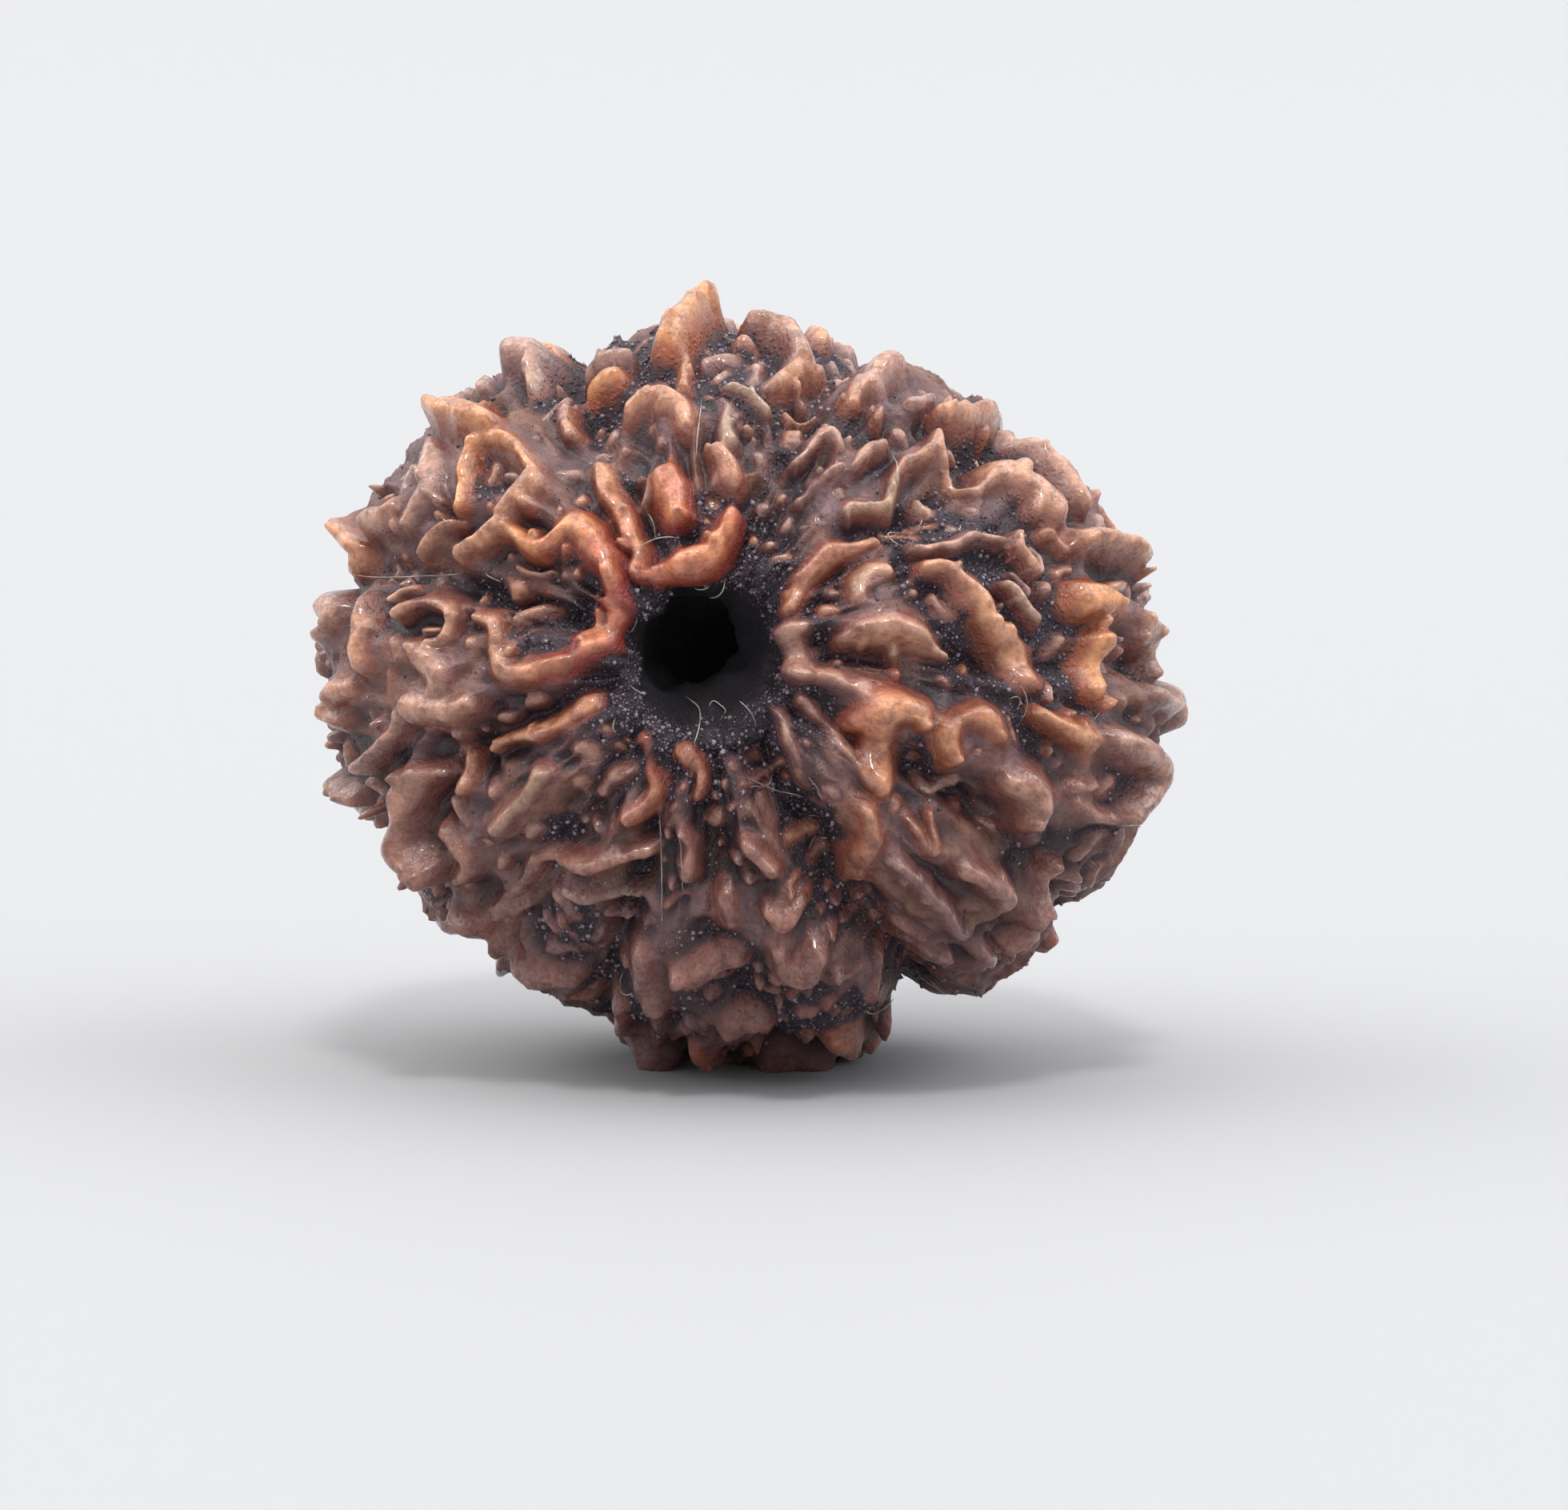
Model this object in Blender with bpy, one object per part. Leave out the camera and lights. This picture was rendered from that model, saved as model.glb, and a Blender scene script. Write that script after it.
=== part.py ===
"""A rudraksha bead: the whole warty stone of the fruit, with its natural bore.

The stone is one solid. Its surface is a ring-shaped grid: a profile that runs out of the bore,
over the near mouth, round the outside, over the far mouth and back into the bore, carried once
round the bore's axis. Ridges, knobs, lobes and the grooves between the lobes raise or lower
that grid along its own normals. The stone stands on its side, on crests flattened at z = 0.

Metres, +Z up. The origin lies on the resting surface, under the middle of the stone.
The near mouth of the bore faces -Y and looks up a little.
"""

import math

import bpy
import numpy as np

MM = 0.001

# Body of the stone, without its ridges
STONE_RADIUS = 11.3 * MM
STONE_HALF_LENGTH = 9.5 * MM
STONE_OVAL = 0.09
STONE_OVAL_TURN = math.radians(-12)
STONE_SQUARENESS = 2.2
STONE_TILT = math.radians(11.5)
STONE_CENTRE = np.array((-0.25, -0.224, 11.8)) * MM

# Natural bore, with a funnel at each mouth. It slants: it runs this far beside the stone's axis behind
# the near mouth, and as far on the other side of the axis before the far mouth.
BORE_RADIUS = 1.2 * MM
MOUTH_RADIUS = 2.55 * MM
FUNNEL_POWER = 5
LIP_ROUNDING = 14
BORE_SHIFT = np.array((-0.75, 0.0, 0.85)) * MM
BORE_SHIFT_DEPTH = 3.0 * MM

# Grooves from mouth to mouth, at their angles about the bore as seen from the near mouth
GROOVE_ANGLES = (5, 38, 68, 119, 167, 201, 228, 254, 276, 299, 330)
GROOVE_DEPTH = 0.55 * MM
GROOVE_HALF_WIDTH = 0.5 * MM
WIDE_GROOVE_ANGLE = 299
WIDE_GROOVE_DEPTH = 1.4 * MM
WIDE_GROOVE_HALF_WIDTH = 0.8 * MM
GROOVE_WANDER = math.radians(4)
LOBE_CROWN = 0.35 * MM
LOBE_RISE = 2.2 * MM

# Slow unevenness of the whole body
SWELL_HEIGHT = 0.06 * MM
SWELL_WAVES = 6
SWELL_SHORTEST, SWELL_LONGEST = 6 * MM, 12 * MM

# Ridge crests
RIDGE_LIFT = 0.65 * MM
RIDGE_LIFT_PER_HALF_WIDTH = 1.0
RIDGE_LIFT_MOST = 1.5 * MM
RIDGE_STEEPNESS = 3
RIDGE_FOOT = 1.2
RIDGE_SKIRT = 0.24
RIDGE_SKIRT_WIDTH = 1.9
RIDGE_BLEND = 6

# The eye that the near ridges were drawn from, and its picture
EYE_AZIMUTH = math.radians(6.5)
EYE_ELEVATION = math.radians(7)
EYE_DISTANCE = 200 * MM
PICTURE_WIDTH, PICTURE_HEIGHT = 1960, 1887
PICTURE_FOCAL = 8000
PICTURE_STONE_X, PICTURE_STONE_Y = 927, 857
SEEN_ALONG, SEEN_ROUND = 300, 600
SEARCH_MARGIN = 60
CREST_SMOOTHING = 5

# Ridges that the stone doesn't show from that eye are grown from a seed
SEED = 108
RIDGE_GAP = 0.24 * MM
NEAR_RIDGE_GAP = 0.9 * MM
NEAR_FACING = 0.2
EDGE_FACING, EDGE_FACING_SPREAD = -0.1, 0.22
EDGE_LOWERING = 0.4
GROWTH_STEP = 0.45 * MM
MOUTH_CLEARANCE = 3.3 * MM

# Triangles of the finished solid, and how deep the crests underneath are flattened
GRID_ROUND, GRID_ALONG = 420, 230
SOLID_TRIANGLES = 11400
GROUND_BLOCK = 40 * MM

# Ridges seen from the eye: the crest's points in the picture, each x, y and half width in pixels
NEAR_RIDGES = {
    "crown_spike": ((876, 368, 24), (852, 390, 28), (828, 416, 26)),
    "crown_stem": ((853, 444, 12), (851, 490, 12)),
    "crown_knob": ((742, 466, 22), (758, 466, 22)),
    "crown_left_block": ((640, 436, 34), (662, 430, 34)),
    "crown_left_tip": ((692, 430, 20),),
    "crown_left_foot": ((668, 466, 20), (664, 486, 14)),
    "crown_arch": ((786, 512, 14), (821, 498, 20), (847, 512, 20), (858, 534, 16)),
    "crown_dash": ((708, 505, 12), (726, 528, 12)),
    "crown_pink_knob": ((930, 425, 15),),
    "crown_right_shoulder": ((939, 398, 15), (975, 402, 22), (1002, 430, 18)),
    "crown_right_fold": ((974, 476, 15), (994, 456, 17), (1024, 440, 17)),
    "crown_right_post": ((1070, 472, 14), (1062, 500, 14)),
    "crown_right_block": ((1082, 480, 20), (1104, 456, 28), (1118, 450, 26)),
    "crown_right_drop": ((1100, 513, 11), (1095, 532, 11)),
    "top_pale_stem": ((895, 499, 11), (906, 520, 15), (918, 548, 16)),
    "top_pale_loop": ((903, 482, 10), (932, 487, 12), (962, 506, 11)),
    "top_red_knob": ((904, 561, 18), (914, 584, 20)),
    "upper_left_bar": ((541, 502, 22), (566, 510, 26), (606, 520, 22)),
    "triangle_left": ((590, 556, 16), (580, 590, 16), (574, 634, 11)),
    "triangle_top": ((590, 556, 14), (626, 549, 14), (656, 564, 13), (672, 582, 12)),
    "triangle_right": ((675, 586, 15), (656, 620, 20), (628, 646, 13)),
    "triangle_tail": ((636, 652, 13), (618, 668, 14), (594, 684, 14), (577, 699, 12)),
    "bird_arm": ((594, 682, 12), (620, 663, 13), (648, 674, 16)),
    "bird_head": ((652, 678, 15), (682, 672, 16), (712, 648, 20), (738, 668, 24)),
    "bird_neck": ((738, 668, 24), (762, 706, 20), (776, 742, 16)),
    "high_wall": ((743, 560, 14), (753, 598, 18), (777, 634, 20), (791, 666, 18), (795, 702, 15)),
    "teardrop": ((830, 586, 24), (838, 608, 26), (844, 630, 22)),
    "teardrop_left": ((812, 596, 10), (808, 622, 10)),
    "over_mouth": ((815, 698, 18), (838, 711, 22), (868, 711, 22), (889, 692, 22), (904, 656, 20), (916, 630, 16)),
    "hook": ((993, 569, 10), (1012, 543, 10), (1036, 538, 11), (1047, 556, 10)),
    "hook_inner": ((1006, 622, 10), (1030, 598, 11), (1049, 577, 12)),
    "short_bar": ((1072, 579, 11), (1087, 566, 13), (1106, 557, 12)),
    "white_fork_stem": ((1126, 592, 10), (1124, 624, 11)),
    "white_fork_arm": ((1124, 624, 11), (1100, 632, 12), (1072, 627, 11), (1062, 640, 9)),
    "white_fork_knob": ((1164, 616, 12), (1180, 623, 12)),
    "peak_left": ((1167, 541, 14), (1146, 564, 13), (1128, 586, 10)),
    "peak_right": ((1167, 541, 13), (1182, 566, 12), (1202, 594, 12), (1222, 604, 12), (1247, 590, 12)),
    "right_top_bar": ((1190, 514, 17), (1216, 516, 23), (1250, 508, 23)),
    "right_shoulder": ((1262, 566, 24), (1292, 590, 34), (1332, 636, 28)),
    "right_rim": ((1272, 524, 20), (1306, 558, 20), (1334, 590, 18), (1352, 628, 18)),
    "low_arch": ((1144, 676, 10), (1192, 678, 11), (1220, 670, 11), (1246, 678, 11)),
    "right_hook": ((1268, 664, 13), (1271, 688, 13), (1290, 710, 14)),
    "right_hook_next": ((1306, 664, 13), (1324, 668, 14), (1334, 686, 12)),
    "right_point": ((1360, 672, 19), (1394, 677, 20), (1422, 690, 19)),
    "arch_by_mouth": ((1100, 668, 12), (1064, 684, 15), (1030, 695, 22), (1010, 724, 18), (992, 757, 17)),
    "arch_by_mouth_foot": ((988, 793, 20), (994, 824, 26), (1014, 842, 14)),
    "lens": ((1053, 802, 14), (1100, 787, 34), (1128, 790, 34), (1162, 803, 22), (1192, 815, 9)),
    "long_ridge": ((1160, 699, 14), (1192, 710, 16), (1216, 738, 20), (1232, 774, 22), (1260, 804, 26), (1290, 834, 34)),
    "long_ridge_ledge": ((1252, 736, 9), (1276, 752, 12), (1300, 772, 15)),
    "orange_knob_small": ((1352, 742, 20), (1376, 744, 25), (1394, 758, 20)),
    "orange_knob_large": ((1388, 800, 28), (1391, 828, 32), (1390, 858, 26)),
    "right_edge_knob": ((1434, 778, 20), (1454, 808, 24), (1458, 832, 20)),
    "right_edge_block": ((1446, 874, 20), (1474, 884, 26), (1482, 902, 22)),
    "tooth": ((1074, 902, 22), (1108, 880, 28), (1150, 885, 20)),
    "tooth_root": ((1106, 890, 26), (1102, 926, 26), (1104, 958, 27), (1110, 986, 20)),
    "mouth_to_tooth": ((1012, 838, 13), (1046, 848, 15), (1080, 868, 16)),
    "left_of_tooth": ((1011, 880, 10), (1046, 907, 11), (1058, 940, 12), (1086, 974, 11)),
    "by_wide_groove": ((984, 892, 10), (997, 945, 11), (1013, 992, 10)),
    "c_knob": ((1196, 954, 16), (1184, 916, 20), (1206, 889, 20), (1240, 896, 20), (1253, 922, 15)),
    "short_dash_right": ((1312, 897, 14), (1342, 912, 19), (1374, 932, 22)),
    "lower_right_edge": ((1402, 932, 20), (1436, 948, 24), (1444, 986, 24), (1410, 1022, 20)),
    "lower_right_block": ((1268, 984, 20), (1296, 984, 30), (1312, 1012, 30), (1306, 1044, 22)),
    "lower_right_strap": ((1350, 1004, 12), (1384, 1024, 13)),
    "lower_right_dash": ((1344, 986, 11), (1372, 982, 12)),
    "v_left": ((1142, 1026, 9), (1155, 1052, 11), (1168, 1066, 10)),
    "v_right": ((1171, 1018, 9), (1170, 1044, 10), (1168, 1066, 10)),
    "groove_side_stem": ((1084, 1012, 18), (1094, 1052, 20), (1078, 1088, 24), (1082, 1114, 20)),
    "long_low_ridge": ((1120, 1072, 12), (1147, 1101, 14), (1174, 1138, 15), (1202, 1171, 14), (1238, 1200, 15)),
    "mid_low_ridge": ((1198, 1090, 16), (1230, 1100, 20), (1262, 1128, 21)),
    "low_red_knob": ((1338, 1096, 18), (1332, 1126, 22), (1302, 1152, 20)),
    "low_dot": ((1092, 1157, 14),),
    "bowl": ((960, 1142, 13), (982, 1152, 15), (1004, 1139, 13)),
    "low_v": ((972, 1186, 20), (996, 1220, 27), (1022, 1188, 20)),
    "low_right_dot": ((1048, 1218, 14),),
    "low_middle_block": ((862, 1222, 26), (908, 1216, 26)),
    "low_knob": ((894, 1136, 20), (898, 1162, 22)),
    "low_left_block": ((798, 1204, 22), (808, 1256, 24)),
    "foot_pale_knob": ((915, 1288, 22), (946, 1292, 22)),
    "low_right_edge_knob": ((1160, 1226, 20), (1190, 1214, 16)),
    "ring_left": ((590, 764, 12), (612, 776, 15), (614, 810, 16), (632, 836, 16), (664, 843, 16)),
    "ring_right": ((664, 843, 16), (700, 836, 17), (726, 818, 19), (754, 795, 20), (776, 770, 18), (764, 748, 15)),
    "ring_inner": ((742, 760, 14), (738, 784, 14), (718, 806, 13)),
    "ring_top": ((640, 774, 11), (662, 760, 13), (688, 756, 12)),
    "diagonal_bar": ((606, 941, 13), (638, 922, 15), (672, 908, 16), (704, 890, 16), (742, 873, 13)),
    "left_blob_top": ((520, 828, 22), (540, 850, 26)),
    "left_blob": ((512, 888, 24), (548, 888, 26), (580, 874, 20)),
    "left_tan_knob": ((564, 955, 17), (568, 984, 18)),
    "s_ridge": ((676, 968, 16), (667, 988, 17), (646, 1012, 16), (614, 1042, 16)),
    "cup_right": ((802, 922, 13), (808, 950, 14), (816, 982, 15), (806, 1012, 16), (780, 1026, 15)),
    "cup_left": ((738, 1000, 12), (752, 974, 13), (782, 957, 12)),
    "belt": ((672, 1086, 14), (704, 1086, 16), (744, 1081, 17), (776, 1079, 17), (804, 1082, 15)),
    "belt_tail": ((660, 1092, 15), (642, 1112, 16), (624, 1136, 16), (612, 1170, 15)),
    "left_cup_wall": ((520, 978, 14), (482, 1000, 24), (468, 1036, 30), (480, 1074, 28), (516, 1094, 20)),
    "left_cup_floor": ((548, 1038, 16), (578, 1066, 18), (574, 1096, 17)),
    "left_edge_upper": ((414, 890, 17), (428, 900, 18)),
    "left_edge_lower": ((424, 980, 17), (442, 998, 18)),
    "left_diagonal": ((450, 954, 17), (478, 930, 18), (502, 898, 17)),
    "low_left_edge": ((562, 1160, 17), (588, 1174, 18), (606, 1206, 18)),
    "low_left_inner": ((640, 1148, 15), (622, 1166, 16), (628, 1198, 16)),
    "thin_stem": ((848, 932, 10), (868, 962, 11), (877, 1006, 10)),
    "mid_post": ((855, 1058, 14), (857, 1104, 13)),
    "mid_post_right": ((940, 1056, 15), (962, 1092, 18)),
    "crumb_row": ((700, 1117, 10), (738, 1123, 11), (796, 1134, 10)),
    "left_edge_top": ((417, 660, 22), (430, 684, 24), (420, 702, 22)),
    "left_top_bar": ((458, 650, 22), (478, 642, 24), (494, 628, 20)),
    "left_top_wall": ((540, 556, 16), (541, 590, 20), (531, 620, 20), (513, 648, 16)),
    "left_dash": ((520, 686, 13), (546, 666, 16), (566, 658, 14)),
    "left_edge_middle": ((404, 752, 22), (414, 770, 24), (404, 792, 22)),
    "left_pillar": ((452, 752, 18), (454, 796, 20), (458, 834, 18)),
    "small_ring_left": ((496, 766, 12), (514, 746, 13), (540, 741, 13), (556, 760, 13)),
    "small_ring_right": ((556, 760, 13), (552, 790, 13), (534, 812, 13), (516, 806, 12)),
    "left_low_pillar": ((416, 870, 17), (444, 858, 17)),
    "crown_saddle": ((726, 442, 16), (752, 440, 18), (778, 440, 16)),
    "behind_peak": ((1140, 506, 14), (1172, 502, 14)),
    "low_left_rim": ((640, 1214, 16), (676, 1226, 17), (710, 1236, 16)),
    "low_right_rim": ((1112, 1232, 14), (1090, 1256, 14)),
    "low_right_row": ((1138, 1214, 15), (1168, 1220, 16)),
    "low_right_corner": ((1262, 1186, 15), (1290, 1168, 16)),
    "low_right_inner": ((1128, 1176, 13), (1156, 1186, 14)),
    "foot_left_side": ((764, 1270, 16), (776, 1310, 18)),
}
# Places just outside the stone's outline in the picture where no grown ridge may show
CLEAR_PLACES = (
    (1165, 450), (1200, 475), (780, 402), (502, 539), (472, 575), (513, 1143), (560, 1215), (660, 1250),
    (700, 1276), (1150, 1262), (1228, 1257), (1280, 1235), (1380, 1150), (1405, 1115), (1429, 1073), (1466, 986),
)
CLEAR_REACH = 42

# Crests that the stone stands on: both ends, from the place under the stone's middle, and the lift, in
# millimetres
FOOT_RIDGES = {
    "foot_left_near": ((-3.6, -1.6), (-2.6, -2.2), 1.7),
    "foot_left_far": ((-3.3, 1.4), (-2.4, 2.2), 1.7),
    "foot_right_near": ((1.7, -2.2), (2.7, -1.6), 1.7),
    "foot_right_far": ((1.9, 2.2), (2.8, 1.3), 1.7),
    "foot_middle": ((-0.7, 0.1), (0.7, -0.1), 0.9),
}
FOOT_HALF_WIDTH = 0.85 * MM
FOOT_SWELL = 0.8 * MM
FOOT_SWELL_REACH = 3.8 * MM

# Ridges that stand higher than their width gives
EXTRA_LIFT = {
    "crown_spike": 0.5 * MM,
    "crown_right_shoulder": 0.25 * MM,
    "crown_left_block": 0.2 * MM,
    "upper_left_bar": 0.3 * MM,
    "right_point": 0.3 * MM,
    "left_edge_top": 0.2 * MM,
    "crown_saddle": 0.3 * MM,
    "left_cup_wall": 0.8 * MM,
    "lower_right_edge": 0.2 * MM,
    "low_left_edge": 0.5 * MM,
    "low_left_rim": 0.2 * MM,
    "foot_left_side": 0.3 * MM,
}


def to_world(points):
    """Places points of the stone's own frame: its near mouth turns up, and it is lifted off the surface."""
    c, s = math.cos(STONE_TILT), math.sin(STONE_TILT)
    turn = np.array(((1, 0, 0), (0, c, s), (0, -s, c)))
    return points @ turn.T + STONE_CENTRE


def eye_axes():
    """The eye's right, up and forward directions."""
    ca, sa = math.cos(EYE_AZIMUTH), math.sin(EYE_AZIMUTH)
    ce, se = math.cos(EYE_ELEVATION), math.sin(EYE_ELEVATION)
    right = np.array((ca, sa, 0.0))
    up = np.array((-sa * se, ca * se, ce))
    forward = np.array((-sa * ce, ca * ce, -se))
    return right, up, forward


def picture_place(points):
    """Where the eye sees world points: x and y in the picture's pixels, and the direction towards the eye."""
    right, up, forward = eye_axes()
    per_pixel = EYE_DISTANCE / PICTURE_FOCAL
    aim = (
        STONE_CENTRE
        + right * (PICTURE_WIDTH / 2 - PICTURE_STONE_X) * per_pixel
        - up * (PICTURE_HEIGHT / 2 - PICTURE_STONE_Y) * per_pixel
    )
    eye = aim - forward * EYE_DISTANCE
    ray = points - eye
    depth = ray @ forward
    x = PICTURE_WIDTH / 2 + PICTURE_FOCAL * (ray @ right) / depth
    y = PICTURE_HEIGHT / 2 - PICTURE_FOCAL * (ray @ up) / depth
    return x, y, -ray / np.linalg.norm(ray, axis=-1, keepdims=True)


def smooth_step(value, low, high):
    """0 below low, 1 above high, and an even S between them."""
    t = np.clip((value - low) / (high - low), 0, 1)
    return t * t * (3 - 2 * t)


def oval(angle, radius):
    """How much wider or narrower than round the stone is, at an angle about the bore and a distance from it."""
    spread = smooth_step(radius, MOUTH_RADIUS, 0.6 * STONE_RADIUS)
    return 1 + STONE_OVAL * np.cos(2 * (angle - STONE_OVAL_TURN)) * spread


def onto_stone(points):
    """Moves points towards or away from the stone's middle until they lie on its body.

    The body is a superellipse turned about the bore: (radius / R)^n + (|y| / H)^n = 1.
    """
    radius = np.hypot(points[..., 0], points[..., 2])
    angle = np.arctan2(points[..., 2], points[..., 0])
    wide = STONE_RADIUS * oval(angle, radius)
    level = (radius / wide) ** STONE_SQUARENESS
    level += (np.abs(points[..., 1]) / STONE_HALF_LENGTH) ** STONE_SQUARENESS
    return points / level[..., None] ** (1 / STONE_SQUARENESS)


def around_loop(columns, step, count):
    """Reads the columns of a closed loop at count even places, with step the length of each span."""
    along = np.concatenate(((0,), np.cumsum(step)))
    places = np.linspace(0, along[-1], count, endpoint=False)
    return [np.interp(places, along, np.append(column, column[0])) for column in columns]


def stone_profile(count):
    """The closed profile of the stone as count points (radius, y), and each point's share of outer surface.

    The outer stretch is the superellipse radius = R cos(t)^(2/n), y = H sin(t)^(2/n), as far in as the
    mouths. The inner stretch is the bore, whose radius grows to the mouth's by (|y| / length)^power.
    """
    power = 2 / STONE_SQUARENESS
    edge = math.acos((MOUTH_RADIUS / STONE_RADIUS) ** (1 / power))
    t = np.linspace(-edge, edge, 2000)
    outer = np.stack(
        (
            STONE_RADIUS * np.cos(t) ** power,
            STONE_HALF_LENGTH * np.sign(t) * np.abs(np.sin(t)) ** power,
        ),
        axis=1,
    )
    mouth_y = outer[-1, 1]
    y = np.linspace(mouth_y, -mouth_y, 1200)[1:-1]
    flare = (np.abs(y) / mouth_y) ** FUNNEL_POWER
    inner = np.stack((BORE_RADIUS + (MOUTH_RADIUS - BORE_RADIUS) * flare, y), axis=1)
    loop = np.concatenate((outer, inner))
    outside = np.concatenate((np.ones(len(outer)), np.zeros(len(inner))))

    # Even the spacing out, with the bore's points twice as far apart, and round the two lips
    step = np.linalg.norm(np.roll(loop, -1, axis=0) - loop, axis=1)
    step *= np.where(outside > 0, 1.0, 0.5)
    columns = around_loop((loop[:, 0], loop[:, 1], outside), step, 600)
    for _ in range(LIP_ROUNDING):
        columns = [(np.roll(c, 1) + 2 * c + np.roll(c, -1)) / 4 for c in columns]
    return around_loop(columns, np.ones(600), count)


def body_grid(along, around):
    """The stone's body without ridges, as a grid of points that closes both ways, and each point's outer share."""
    radius, y, outside = (column[:, None] for column in stone_profile(along))
    angle = np.linspace(0, 2 * math.pi, around, endpoint=False)[None, :]
    wide = radius * oval(angle, radius)
    inside = smooth_step(STONE_HALF_LENGTH - np.abs(y), 0, BORE_SHIFT_DEPTH) * (1 - outside)
    slant = np.clip(-y / (STONE_HALF_LENGTH - BORE_SHIFT_DEPTH), -1, 1)
    points = np.stack(np.broadcast_arrays(wide * np.cos(angle), y, wide * np.sin(angle)), axis=-1)
    points = points + (inside * slant)[..., None] * BORE_SHIFT
    return points, np.broadcast_to(outside, points.shape[:2])


def grid_normals(points):
    """Unit normals of a grid that closes both ways, pointing out of the stone."""
    along = np.roll(points, -1, axis=0) - np.roll(points, 1, axis=0)
    around = np.roll(points, -1, axis=1) - np.roll(points, 1, axis=1)
    normal = np.cross(along, around)
    return normal / np.linalg.norm(normal, axis=-1, keepdims=True)


def smooth_path(points, per_span=5):
    """A Catmull-Rom curve through the points of a ridge, its width carried along with it."""
    p = np.array(points, float)
    if len(p) == 1:
        return p
    ends = np.concatenate((2 * p[:1] - p[1:2], p, 2 * p[-1:] - p[-2:-1]))
    t = np.linspace(0, 1, per_span, endpoint=False)[:, None]
    spans = []
    for a, b, c, d in zip(ends, ends[1:], ends[2:], ends[3:]):
        spans.append(0.5 * (2 * b + (c - a) * t + (2 * a - 5 * b + 4 * c - d) * t**2 + (3 * b - a - 3 * c + d) * t**3))
    return np.concatenate((*spans, p[-1:]))


def ridge_lift(half_width):
    """Crest height of a ridge: broader ridges stand higher, up to a limit."""
    return min(RIDGE_LIFT + RIDGE_LIFT_PER_HALF_WIDTH * half_width, RIDGE_LIFT_MOST)


def seen_ridges():
    """The near ridges on the stone's body: a point goes where its crest is seen nearest to its pixel.

    Near the stone's edge a pixel says little about depth, so each line is then evened out along itself.
    """
    body, outside = body_grid(SEEN_ALONG, SEEN_ROUND)
    normals = grid_normals(body)
    keep = outside > 0.5
    body, normals = body[keep], normals[keep]
    per_pixel = EYE_DISTANCE / PICTURE_FOCAL
    ridges = []
    for name, points in NEAR_RIDGES.items():
        path = smooth_path(points)
        lift = ridge_lift(path[:, 2].mean() * per_pixel) + EXTRA_LIFT.get(name, 0)
        raised = to_world(body + lift * normals)
        x, y, towards = picture_place(raised)
        facing = np.einsum("ij,ij->i", to_world(body + normals) - to_world(body), towards)
        reach = SEARCH_MARGIN + np.ptp(path[:, :2], axis=0).max()
        near = (facing > 0) & (np.hypot(x - path[0, 0], y - path[0, 1]) < reach)
        distance = np.hypot(x[near] - path[:, :1], y[near] - path[:, 1:2])
        line = body[near][distance.argmin(axis=1)]
        for _ in range(CREST_SMOOTHING):
            line[1:-1] = (line[:-2] + 2 * line[1:-1] + line[2:]) / 4
        ridges.append((onto_stone(line), path[:, 2] * per_pixel, lift))
    return ridges


def foot_ridges():
    """The crests that the stone stands on, each under its own two places on the surface."""
    c, s = math.cos(STONE_TILT), math.sin(STONE_TILT)
    back = np.array(((1, 0, 0), (0, c, s), (0, -s, c)))
    ridges = []
    for start, end, lift in FOOT_RIDGES.values():
        ends = np.array(((*start, 0), (*end, 0))) * MM - STONE_CENTRE * (0, 0, 1)
        ridges.append((onto_stone(ends @ back), np.full(2, FOOT_HALF_WIDTH), lift * MM))
    return ridges


def facing(point):
    """How far the body faces the eye at a point: 1 straight towards it, 0 at its edge, below 0 behind."""
    outward = to_world(1.001 * point) - to_world(point)
    towards = picture_place(to_world(point))[2]
    return outward @ towards / np.linalg.norm(outward)


def spoils_outline(path, lift):
    """Whether the crest of a ridge would show at one of the picture's clear places."""
    crest = to_world(path * (1 + lift / np.linalg.norm(path, axis=1, keepdims=True)))
    x, y, _ = picture_place(crest)
    clear = np.array(CLEAR_PLACES)
    return np.hypot(x - clear[:, :1], y - clear[:, 1:]).min() < CLEAR_REACH


def groove_distance(points, number):
    """Distance across the surface from points to one groove, which wanders a little from mouth to mouth."""
    angle = np.arctan2(points[..., 2], points[..., 0])
    middle = math.radians(GROOVE_ANGLES[number])
    wander = GROOVE_WANDER * np.sin(points[..., 1] / STONE_HALF_LENGTH * 2.4 + 1.7 * number)
    off = np.abs((angle - middle - wander + math.pi) % (2 * math.pi) - math.pi)
    return off * np.hypot(points[..., 0], points[..., 2])


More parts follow.
